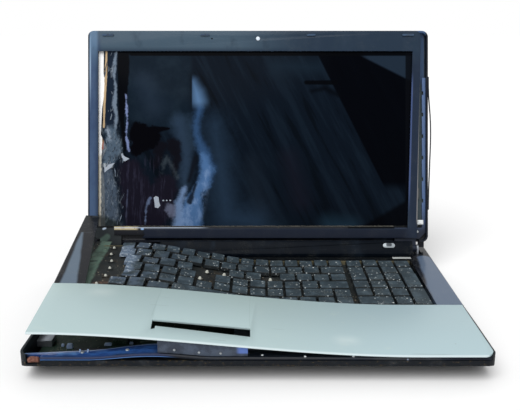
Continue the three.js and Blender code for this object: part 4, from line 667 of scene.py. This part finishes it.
def lens_glint_look():
    # Painted reflection: a pale white-blue dot on the lens, grey round it
    look = Look("lens", (214, 226, 240), 0.12, specular=0.6, place=LID)
    offset = look.vector("SUBTRACT", look.point, (0, 0, LENS_HEIGHT)).outputs[0]
    look.paint(look.fade(look.vector("LENGTH", offset).outputs["Value"], 1.7, 2.2), (120, 130, 142))
    look.lumps(0.05, 0.8, 2, 0.5)
    return look.done()


def blotted(name, colour, rough, blots, over, strength, lumps, dust=0.0, bump=0.4, **shader):
    """One colour with blots of another, and a lumpy skin."""
    look = Look(name, colour, rough, **shader)
    look.paint(look.blots(*blots), over, strength)
    look.lumps(*lumps)
    return (look.dust(dust) if dust else look).done(bump)


def rubber(name, colour, place=BASE):
    return blotted(name, colour, 0.8, (0.2, 4, 0.6, 0.45, 0.7), (50, 48, 45), 0.6, (0.12, 1.6, 4, 0.6),
                   bump=0.6, specular=0.25, place=place)


def white_plastic(name, colour=(226, 230, 232), place=BASE):
    return blotted(name, colour, 0.5, (0.5, 4, 0.6, 0.5, 0.7), (170, 168, 158), 0.5, (0.08, 1.2, 3, 0.5),
                   place=place)


MATERIALS = {
    "case": wing_plastic(),
    "bezel": bezel_plastic(),
    "lid": lid_plastic(),
    "trim": trim_plastic(),
    "ridge": gloss_black("ridge_gloss", (6, 12, 20), BASE, 0.4, 0.05).dust(0.14).done(0.3),
    "matt": matt_black("inner_matt").done(0.5),
    "shell": case_matt(),
    "battery": matt_black("battery_matt", (22, 23, 25), 0.45).done(0.5),
    "tray": matt_black("tray_matt", (30, 31, 34), 0.4).done(0.5),
    "fan": matt_black("fan_matt", (20, 20, 22), 0.5).done(0.5),
    "silver": silver_panel(),
    "steel": steel("steel", (146, 152, 160)).done(),
    "rail": rail_steel(),
    "bracket": bracket_steel(),
    "chrome": steel("screw_chrome", (176, 182, 186), 0.22).done(),
    "button": button_look(),
    "board": circuit_board("board"),
    "board_lid": circuit_board("board_lid", LID),
    "rust": rusty(),
    "display": display(),
    "key": key_plastic(),
    "plate": plate_metal(),
    "copper": blotted("copper", (176, 106, 64), 0.35, (0.1, 5, 0.6, 0.45, 0.7), (110, 70, 50), 0.7,
                      (0.05, 1.0, 3, 0.5), dust=0.3, metallic=0.9),
    "rubber": rubber("rubber", (20, 20, 21)),
    "rubber_lid": rubber("rubber_lid", (58, 78, 102), LID),
    "white_sheet": white_sheet(),
    "tan": tan_board(),
    "lens": lens_glint_look(),
    "white": white_plastic("white_plastic"),
    "white_lid": white_plastic("white_clip", place=LID),
    "lip": blotted("lip_metal", (92, 88, 70), 0.5, (0.1, 5, 0.6, 0.4, 0.65, (1, 0.2, 0.2)),
                   (128, 120, 92), 0.8, (0.1, 0.8, 3, 0.6), dust=0.5, metallic=0.3),
    "dome": white_plastic("dome_white", (192, 194, 184)),
    "splinter": blotted("splinter_glass", (58, 68, 80), 0.35, (0.3, 5, 0.7, 0.45, 0.62, (1, 1, 0.3)),
                        (116, 128, 142), 0.8, (0.2, 0.5, 4, 0.6), specular=0.2, place=LID),
    "chip": white_plastic("chip_white", (150, 160, 174), LID),
    "bar": white_plastic("bar_grey", (176, 180, 180)),
    "connector": white_plastic("connector_blue", (150, 172, 206)),
}


NODE_LOOKS = {
    "case": "top_case", "ridge": "hinge_cover", "trim": "front_trim", "bezel": "screen_bezel",
    "lid": "lid_cover edge_trim", "shell": "bottom_case memory_cover",
    "matt": "speaker_left speaker_right dc_jack battery_latch",
    "battery": "battery_pack", "tray": "optical_tray", "fan": "fan_housing fan_rotor",
    "silver": "palm_rest", "button": "power_button", "bracket": "touchpad_bracket",
    "steel": "hard_drive optical_drive usb_port_left usb_port_right video_port "
             "hinge_bracket_left hinge_bracket_right",
    "rail": "lid_rail_left lid_rail_right", "board": "touchpad_board motherboard memory_module",
    "board_lid": "webcam_board", "rust": "corner_bracket", "display": "lcd_glass",
    "copper": "heatsink", "white_sheet": "backlight_tray",
    "rubber": "foot_front_left foot_front_right foot_rear_left foot_rear_right",
    "rubber_lid": "bumper_1 bumper_2 bumper_3 bumper_4",
    "tan": "lcd_driver_board", "lens": "webcam_lens",
}


# Smooth shading of the bent CAD sheets, and softened edges
WELD_GAP = 0.00001
SMOOTH_BELOW, BEVEL_ABOVE = math.radians(28), math.radians(35)
BEVELS = {"palm_rest": 0.25, "top_case": 0.35, "screen_bezel": 0.4, "hinge_cover": 0.6, "bottom_case": 0.3}
OTHER_BEVEL = 0.12


def smoothing_group():
    """Geometry nodes that shade smooth across blunt edges only."""
    group = bpy.data.node_groups.new("smooth_by_angle", "GeometryNodeTree")
    group.interface.new_socket("Geometry", in_out="INPUT", socket_type="NodeSocketGeometry")
    group.interface.new_socket("Geometry", in_out="OUTPUT", socket_type="NodeSocketGeometry")
    start = put(group, "NodeGroupInput").outputs[0]
    plain = put(group, "GeometryNodeRemoveAttribute", {"Geometry": start, "Name": "custom_normal"})
    merged = put(group, "GeometryNodeMergeByDistance", {"Geometry": plain.outputs[0], "Distance": WELD_GAP})
    faces = put(group, "GeometryNodeSetShadeSmooth", {"Geometry": merged.outputs[0], "Shade Smooth": True})
    angle = put(group, "GeometryNodeInputMeshEdgeAngle").outputs[0]
    flat = put(group, "FunctionNodeCompare", {0: angle, 1: SMOOTH_BELOW}, operation="LESS_THAN")
    edges = put(group, "GeometryNodeSetShadeSmooth", {
        "Geometry": faces.outputs[0], "Shade Smooth": flat.outputs[0]}, domain="EDGE")
    put(group, "NodeGroupOutput", {0: edges.outputs[0]})
    return group


SMOOTH = smoothing_group()


def soften(obj, width):
    """Smooth shading, after a bevel if it has a width in millimetres."""
    if width:
        weld = obj.modifiers.new("weld", "WELD")
        weld.merge_threshold = WELD_GAP
        bevel = obj.modifiers.new("bevel", "BEVEL")
        bevel.width = width * MM
        bevel.segments = 2
        bevel.limit_method = "ANGLE"
        bevel.angle_limit = BEVEL_ABOVE
    obj.modifiers.new("smooth", "NODES").node_group = SMOOTH


for key, members in NODE_LOOKS.items():
    for member in members.split():
        nodes[member].data.materials.clear()
        nodes[member].data.materials.append(MATERIALS[key])
        soften(nodes[member], BEVELS.get(member, OTHER_BEVEL))


# Mesh helpers
def piece(name, mesh, body, material, place=BASE, bevel=0.0):
    """A new object from a bmesh in millimetres, baked into the row frame and riding on a body."""
    mesh.transform(place)
    bmesh.ops.recalc_face_normals(mesh, faces=mesh.faces)
    data = bpy.data.meshes.new(name)
    mesh.to_mesh(data)
    mesh.free()
    obj = bpy.data.objects.new(name, data)
    scene.collection.objects.link(obj)
    data.materials.append(MATERIALS[material])
    soften(obj, bevel)
    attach(obj, body)
    return obj


def ring(mesh, w, d, r, z, steps=3):
    """A rounded rectangle of vertices."""
    made = []
    for i, (sx, sy) in enumerate(((1, 1), (-1, 1), (-1, -1), (1, -1))):
        for k in range(steps + 1):
            a = math.pi / 2 * (i + k / steps)
            corner = (sx * (w / 2 - r) + r * math.cos(a), sy * (d / 2 - r) + r * math.sin(a), z)
            made.append(mesh.verts.new(corner))
    return made


def bridge(mesh, low, high):
    """Faces between two closed rows of vertices."""
    for i in range(len(low)):
        j = (i + 1) % len(low)
        mesh.faces.new((low[i], low[j], high[j], high[i]))


def keycap(mesh, w, d, place):
    """A worn keycap: rounded skirt, soft shoulder and a dished top."""
    start = len(mesh.verts)
    rings = [ring(mesh, *outline) for outline in (
        (w, d, 1.0, 0), (w - 0.1, d - 0.1, 1.1, 0.7), (w - 0.7, d - 0.9, 1.2, KEY_HEIGHT - 0.4),
        (w - 1.3, d - 1.6, 1.2, KEY_HEIGHT), (w - 3.0, d - 3.4, 1.2, KEY_HEIGHT - 0.08),
        (w * 0.4, d * 0.4, 1.2, KEY_HEIGHT - KEY_DISH))]
    for low, high in zip(rings, rings[1:]):
        bridge(mesh, low, high)
    mesh.faces.new(rings[-1])
    mesh.faces.new(list(reversed(rings[0])))
    mesh.verts.ensure_lookup_table()
    bmesh.ops.transform(mesh, matrix=place, verts=mesh.verts[start:])


def block(mesh, x, y, z):
    """A block between pairs of x, y and z."""
    centre = Vector(((x[0] + x[1]) / 2, (y[0] + y[1]) / 2, (z[0] + z[1]) / 2))
    size = Matrix.Diagonal((x[1] - x[0], y[1] - y[0], z[1] - z[0], 1))
    bmesh.ops.create_cube(mesh, size=1, matrix=Matrix.Translation(centre) @ size)


def turned(mesh, profile, place, sides=16):
    """A closed lathe of (radius, height) pairs from axis to axis."""
    turns = [2 * math.pi * i / sides for i in range(sides)]
    rows = []
    for r, z in profile:
        rows.append([mesh.verts.new(place @ Vector((r * math.cos(a), r * math.sin(a), z))) for a in turns])
    for low, high in zip(rows, rows[1:]):
        bridge(mesh, low, high)
    mesh.faces.new(list(reversed(rows[0])))
    mesh.faces.new(rows[-1])


def screw(mesh, place, r=1.6):
    """A domed head with a round recess."""
    turned(mesh, [(r, 0), (r, 0.4), (r * 0.85, 0.75), (r * 0.45, 0.9), (r * 0.4, 0.45)], place, 14)


# Keyboard: bent plate, guide posts, stuck keys, lost keys with their white domes
MAIN_ROWS = [
    [1.25, 1, 1, 1.25, 5, 1, 1, 1, 1, 1],
    [1.75] + [1] * 10 + [1.75, 1],
    [1.75] + [1] * 11 + [1.75],
    [1.5] + [1] * 12 + [1],
    [1] * 13 + [1.5],
    [MAIN_UNITS / 16] * 16,
]
LOST = {(0, 0), (1, 0), (2, 0), (3, 0), (4, 0), (5, 0), (2, 5), (3, 5), (3, 6), (3, 9)}
NUMPAD = [("key_0", 0, 0, 2, 1), ("key_point", 2, 0, 1, 1), ("key_enter", 3, 0, 1, 2), ("key_1", 0, 1, 1, 1),
          ("key_2", 1, 1, 1, 1), ("key_3", 2, 1, 1, 1), ("key_4", 0, 2, 1, 1), ("key_5", 1, 2, 1, 1),
          ("key_6", 2, 2, 1, 1), ("key_plus", 3, 2, 1, 2), ("key_7", 0, 3, 1, 1), ("key_8", 1, 3, 1, 1),
          ("key_9", 2, 3, 1, 1)]
DOME_SHIFT = {(3, 5): 5, (3, 6): 5, (2, 5): -5}
DOME = [(2.2, 0), (2.2, 0.5), (1.9, 1.0), (1.5, 2.2), (0.9, 2.7), (0.3, 2.8)]


def wobble(n):
    """A number from -1 to 1 that looks random and is the same each run."""
    return math.sin(n * 12.9898) * math.cos(n * 4.1414)


def keyboard_slope(x):
    return (keyboard_lift(x + 1) - keyboard_lift(x - 1)) / 2


def numpad_cell(column, row, wide, deep):
    """Middle, width and depth of a key of the number block."""
    return (NUMPAD_LEFT + (column + wide / 2) * COLUMN, KEYBOARD_FRONT + (row + deep / 2) * ROW,
            wide * COLUMN - KEY_GAP, deep * ROW - KEY_GAP)


def bent_block(mesh, x, y, low, top):
    """A block that follows the buckled plate; top gives its height at an x."""
    for v in bmesh.ops.create_cube(mesh, size=1)["verts"]:
        across = x[0] if v.co.x < 0 else x[1]
        height = low if v.co.z < 0 else top(across)
        v.co = (across, y[0] if v.co.y < 0 else y[1], height + keyboard_lift(across))


def bent_plate():
    """The buckled sheet, with the tab and the flange at its rear left."""
    plate = bmesh.new()
    grid = []
    for i in range(PLATE_COLUMNS + 1):
        x = PLATE_LEFT + (PLATE_RIGHT - PLATE_LEFT) * i / PLATE_COLUMNS
        z = PLATE_TOP + keyboard_lift(x)
        for j in range(PLATE_ROWS + 1):
            y = KEYBOARD_FRONT + 0.5 + (6 * ROW - 1) * j / PLATE_ROWS
            grid.append((plate.verts.new((x, y, z)), plate.verts.new((x, y, z - PLATE_SHEET))))

    def at(i, j):
        return grid[i * (PLATE_ROWS + 1) + j]

    for i in range(PLATE_COLUMNS):
        for j in range(PLATE_ROWS):
            a, b, c, d = at(i, j), at(i + 1, j), at(i + 1, j + 1), at(i, j + 1)
            plate.faces.new((a[0], b[0], c[0], d[0]))
            plate.faces.new((d[1], c[1], b[1], a[1]))
    rim = [at(i, 0) for i in range(PLATE_COLUMNS + 1)]
    rim += [at(PLATE_COLUMNS, j) for j in range(1, PLATE_ROWS + 1)]
    rim += [at(i, PLATE_ROWS) for i in range(PLATE_COLUMNS - 1, -1, -1)]
    rim += [at(0, j) for j in range(PLATE_ROWS - 1, 0, -1)]
    for a, b in zip(rim, rim[1:] + rim[:1]):
        plate.faces.new((a[1], b[1], b[0], a[0]))

    def level(x):
        return PLATE_TOP

    tab_y = (KEYBOARD_BACK - 1.5, KEYBOARD_BACK - 0.5 + TAB_LENGTH)
    steps = [PLATE_LEFT + TAB_WIDTH * k / 3 for k in range(4)]
    for x in zip(steps, steps[1:]):
        bent_block(plate, x, tab_y, PLATE_Z, level)
    bent_block(plate, (PLATE_LEFT - FLANGE_WIDTH, PLATE_LEFT), (FLANGE_FRONT, tab_y[1]), PLATE_Z, level)
    return plate


def bent_lip():
    """The low wall along the plate's rear edge, taller to the right."""
    lip = bmesh.new()
    left = PLATE_LEFT + 6
    steps = [left + (PLATE_RIGHT - PLATE_LEFT - 6) * k / PLATE_COLUMNS for k in range(PLATE_COLUMNS + 1)]

    def top(x):
        return PLATE_TOP + 0.8 + 3.2 * smooth((x + 60) / 70)

    for x in zip(steps, steps[1:]):
        bent_block(lip, x, (KEYBOARD_BACK - 1.9, KEYBOARD_BACK - 0.6), PLATE_Z + 0.3, top)
    bmesh.ops.remove_doubles(lip, verts=lip.verts, dist=0.001)
    inner = [f for f in lip.faces if abs(f.normal.x) > 0.9
             and left + 0.01 < f.calc_center_median().x < PLATE_RIGHT - 0.01]
    bmesh.ops.delete(lip, geom=inner, context="FACES_ONLY")
    return lip


def build_keyboard():
    plate = bent_plate()
    caps = bmesh.new()
    domes = bmesh.new()

    def post(cx, cy, top):
        """A square guide post from the plate up to the height that top has on a flat plate."""
        lift = keyboard_lift(cx)
        block(plate, (cx - 3, cx + 3), (cy - 3, cy + 3), (PLATE_TOP + lift, top + lift))

    def cap(cx, cy, w, d, seed):
        """A stuck key on its post, more askew where the plate is lifted."""
        loose = smooth((BUCKLE_END - cx) / BUCKLE_RUN)
        sunk = 0.7 + 0.6 * wobble(seed)
        turn = Matrix.Rotation(loose * 0.1 * wobble(seed + 1), 4, "X")
        lean = Matrix.Rotation(-math.atan(keyboard_slope(cx)) + loose * 0.07 * wobble(seed + 2), 4, "Y")
        spin = Matrix.Rotation(loose * 0.09 * wobble(seed + 5), 4, "Z")
        shift = Vector((loose * 0.5 * wobble(seed + 3), loose * 0.5 * wobble(seed + 4), 0))
        place = Matrix.Translation(Vector((cx, cy, KEY_BOTTOM - sunk + keyboard_lift(cx))) + shift)
        keycap(caps, w, d, place @ lean @ turn @ spin)
        post(cx, cy, POST_TOP)

    for row, widths in enumerate(MAIN_ROWS):
        left = KEYBOARD_LEFT
        for index, units in enumerate(widths):
            cx, cy = left + units * COLUMN / 2, KEYBOARD_FRONT + (row + 0.5) * ROW
            left += units * COLUMN
            if (row, index) not in LOST:
                cap(cx, cy, units * COLUMN - KEY_GAP, ROW - KEY_GAP, row * 20 + index)
                continue
            cx += DOME_SHIFT.get((row, index), 0)
            post(cx, cy, PLATE_TOP + 0.9)
            place = Matrix.Translation((cx, cy, PLATE_TOP + 0.8 + keyboard_lift(cx)))
            place @= Matrix.Rotation(-math.atan(keyboard_slope(cx)), 4, "Y")
            size = 0.66 if index == 0 else 0.86
            turned(domes, [(size * r, size * h) for r, h in DOME], place)
    for row in (4, 5):
        for column in range(4):
            x, y, w, d = numpad_cell(column, row, 1, 1)
            cap(x, y, w, d, row * 30 + column)
    for key in NUMPAD:
        x, y, _, _ = numpad_cell(*key[1:])
        post(x, y, POST_TOP)
    deck = piece("keyboard_deck", plate, "base", "plate")
    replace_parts(deck, "keyboard_plate")
    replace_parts(piece("stuck_keys", caps, "base", "key"), "keyboard_plate")
    piece("key_domes", domes, "base", "dome")
    piece("keyboard_lip", bent_lip(), "base", "lip")
    for name, *cell in NUMPAD:
        x, y, w, d = numpad_cell(*cell)
        key = bmesh.new()
        keycap(key, w, d, Matrix.Translation((x, y, KEY_BOTTOM)))
        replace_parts(piece("cap_" + name, key, name, "key"), name)


build_keyboard()


# Splinters of the crushed side of the display, on the panel's face
FLAKE_FRONT, FLAKE_BACK, FLAKE_LIMIT = 1.75, 2.05, -128
FLAKES = [
    [(-152.1, 110.3), (-150.2, 110.6), (-148.6, 107.4), (-142.9, 104.7), (-147.9, 101.8), (-150.3, 102.6),
     (-151.3, 106.1)],
    [(-170.8, 96.6), (-166, 98.4), (-159.2, 100.1), (-161.6, 97), (-163.4, 94.7), (-168, 91.6),
     (-170.6, 89.4)],
    [(-116, 61.5), (-113.4, 63.2), (-110.6, 61.8), (-110, 57), (-108.6, 52.6), (-111, 49.8), (-114.6, 50.6),
     (-115, 56)],
    [(-106.4, 58.6), (-104.6, 59.2), (-104.2, 57.8), (-105.8, 57.4)],
    [(-102.4, 58.9), (-100.8, 59), (-100.6, 57.7), (-102.2, 57.6)],
    [(-98.6, 59.2), (-96.4, 58.9), (-96.8, 57.8), (-98.2, 57.7)],
]


def flake(mesh, outline, depths):
    """A thin chip on the panel's face, with one depth for each corner of its front."""
    front = [mesh.verts.new((x, depth, s)) for (x, s), depth in zip(outline, depths)]
    back = [mesh.verts.new((x, FLAKE_BACK, s)) for x, s in outline]
    mesh.faces.new(front)
    mesh.faces.new(list(reversed(back)))
    bridge(mesh, front, back)


def build_shards():
    shards = bmesh.new()
    for _ in range(34):
        s = 32 + 190 * rng.random()
        x = -170 + (20 if s < 120 else 12) * rng.random()
        long, wide = 3 + 8 * rng.random(), 0.3 + 0.8 * rng.random()
        tilt = rng.gauss(0, 0.28)
        points = [(-wide, -long / 2), (wide * 0.7, -long * 0.35), (wide, long * 0.2), (0.1, long / 2)]
        c, d = math.cos(tilt), math.sin(tilt)
        outline = [(min(x + a * c - b * d, FLAKE_LIMIT), s + a * d + b * c) for a, b in points]
        flake(shards, outline, [FLAKE_FRONT - 0.35 * rng.random() for _ in outline])
    piece("display_splinters", shards, "lid", "splinter", LID)
    chips = bmesh.new()
    for outline in FLAKES:
        flake(chips, outline, [FLAKE_FRONT] * len(outline))
    piece("display_chips", chips, "lid", "chip", LID)


build_shards()


# Rusted corner, swollen and eaten
def build_rust():
    low, high = (BASE.inverted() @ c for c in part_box("corner_bracket"))
    middle, half = (low + high) / 2, (high - low) / 2
    lump = bmesh.new()
    bmesh.ops.create_icosphere(lump, subdivisions=4, radius=1)
    for v in lump.verts:
        d = v.co.normalized()
        box = max(abs(d.x), abs(d.y), abs(d.z))
        swell = 0.86 + 0.07 * math.sin(5 * d.x + 3 * d.z) + 0.07 * math.sin(7 * d.y - 4 * d.z + 1)
        v.co = d * swell * (0.45 + 0.55 / box)
        v.co = [middle[i] + half[i] * min(max(v.co[i], -1), 1) for i in range(3)]
    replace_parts(piece("rusted_lump", lump, "base", "rust"), "corner_bracket")


build_rust()


# Screws, lights and clips that the damage lays bare
def build_small_parts():
    lights = bmesh.new()
    lens = [(1.0, 0), (1.0, 0.35), (0.6, 0.6), (0.2, 0.65)]
    for x, y in ((3.4, 4.6), (37.2, 2.4), (75.2, 2.4)):
        turned(lights, lens, Matrix.Translation((x, y, TRIM_TOP)), 12)
    piece("status_lights", lights, "base", "white")
    heads = bmesh.new()
    for x, y in ((-140, 9), (-104, 9), (120, 9), (-30, 9)):
        screw(heads, Matrix.Translation((x, y, TRIM_TOP + trim_bow(x))))
    for x, z in ((-65.8, 28.2), (-46.4, 26.1), (-29.4, 25.3)):
        screw(heads, Matrix.Translation((x, 2.05, z)) @ FACING_FRONT, 1.0)
    piece("trim_screws", heads, "base", "chrome")
    clips = bmesh.new()
    for x in (-142.4, -136):
        block(clips, (x - 0.6, x + 0.6), (9.4, 11.4), (TRIM_TOP - 0.1, TRIM_TOP + 0.5 + trim_bow(x)))
        block(clips, (x - 0.6, x + 0.6), (10.8, 11.4), (TRIM_TOP + 0.4, TRIM_TOP + 1.9 + trim_bow(x)))
    for x, y, w, d, h in ((-159, 40.5, 5, 3.4, 4), (-166, 44, 2.4, 2.4, 2), (-108.3, 47.7, 3, 2.4, 2),
                          (-128, 46, 6, 4, 1.6)):
        shoulder = BOARD_TOP + h * 0.7
        block(clips, (x - w / 2, x + w / 2), (y - d / 2, y + d / 2), (BOARD_TOP, shoulder))
        block(clips, (x - w * 0.4, x + w * 0.4), (y - d * 0.4, y + d * 0.4), (shoulder, BOARD_TOP + h))
    piece("front_connectors", clips, "base", "connector", bevel=0.15)
    ends = bmesh.new()
    for x in ((-154, -151.9), (-111.6, -107.5), (151.9, 154), (107.5, 111.6)):
        block(ends, x, (8.8, 10), (7.2, 13))
        block(ends, (x[0] + 0.3, x[1] - 0.3), (8.5, 8.8), (7.6, 12.4))
    piece("skirt_ends", ends, "lid", "lid", LID, 0.2)
    clip = bmesh.new()
    block(clip, (176.5, 184.2), (3.4, 4.2), (31.6, 36.6))
    block(clip, (178, 182.5), (2.9, 3.4), (32.6, 35.6))
    piece("rail_clip", clip, "lid", "white_lid", LID, 0.3)
    dots = bmesh.new()
    screw(dots, Matrix.Translation((177.5, 4.2, 23.5)) @ FACING_FRONT, 1.5)
    piece("rail_screws", dots, "lid", "chrome", LID)
    bar = bmesh.new()
    block(bar, (146, 166), (KEYBOARD_BACK + 0.9, KEYBOARD_BACK + 5.2), (DECK_Z, DECK_Z + 0.6))
    piece("indicator_bar", bar, "base", "bar", bevel=0.2)


build_small_parts()

# Floor and light
floor_mesh = bmesh.new()
bmesh.ops.create_grid(floor_mesh, x_segments=1, y_segments=1, size=6)
floor_data = bpy.data.meshes.new("floor")
floor_mesh.to_mesh(floor_data)
floor = bpy.data.objects.new("floor", floor_data)
scene.collection.objects.link(floor)
floor_look = bpy.data.materials.new("floor")
floor_look.use_nodes = True
floor_inputs = floor_look.node_tree.nodes["Principled BSDF"].inputs
floor_inputs["Base Color"].default_value = (0.98, 0.98, 0.98, 1)
floor_inputs["Roughness"].default_value = 1.0
floor_inputs["Specular IOR Level"].default_value = 0.0
floor_data.materials.append(floor_look)

world = bpy.data.worlds.new("studio")
scene.world = world
world.use_nodes = True
sky = world.node_tree
backdrop = sky.nodes["Background"]
# White where it is seen, weaker as a lamp
path = put(sky, "ShaderNodeLightPath").outputs
seen = path["Is Camera Ray"]
for ray in ("Is Glossy Ray", "Is Transmission Ray"):
    seen = put(sky, "ShaderNodeMath", {0: seen, 1: path[ray]}, operation="MAXIMUM").outputs[0]
level = put(sky, "ShaderNodeMapRange", {"Value": seen, "To Min": 0.6, "To Max": 1.0})
sky.links.new(level.outputs[0], backdrop.inputs["Strength"])
backdrop.inputs["Color"].default_value = (1, 1, 1, 1)

sun = bpy.data.objects.new("sun", bpy.data.lights.new("sun", "SUN"))
sun.data.energy = 1.9
sun.data.angle = math.radians(50)
sun.rotation_euler = (math.radians(32), math.radians(-16), 0)
scene.collection.objects.link(sun)

# Camera at the photograph's place, its picture parallel to the display
# Focus and shift in pixels of a picture that is PHOTO_WIDTH wide
CAMERA_Y, CAMERA_UP = -491.8, 265.2
PHOTO_WIDTH, FOCUS, SHIFT, SENSOR = 520, 696, 2, 36
camera = bpy.data.objects.new("camera", bpy.data.cameras.new("camera"))
scene.collection.objects.link(camera)
camera.location = BASE @ Vector((0, CAMERA_Y, DECK_Z + CAMERA_UP))
camera.rotation_euler = (math.pi / 2 - LEAN, 0, 0)
camera.data.sensor_width = SENSOR
camera.data.lens = FOCUS / PHOTO_WIDTH * SENSOR
camera.data.shift_x = SHIFT / PHOTO_WIDTH
camera.data.clip_start = 0.01
scene.camera = camera
scene.view_settings.view_transform = "Standard"
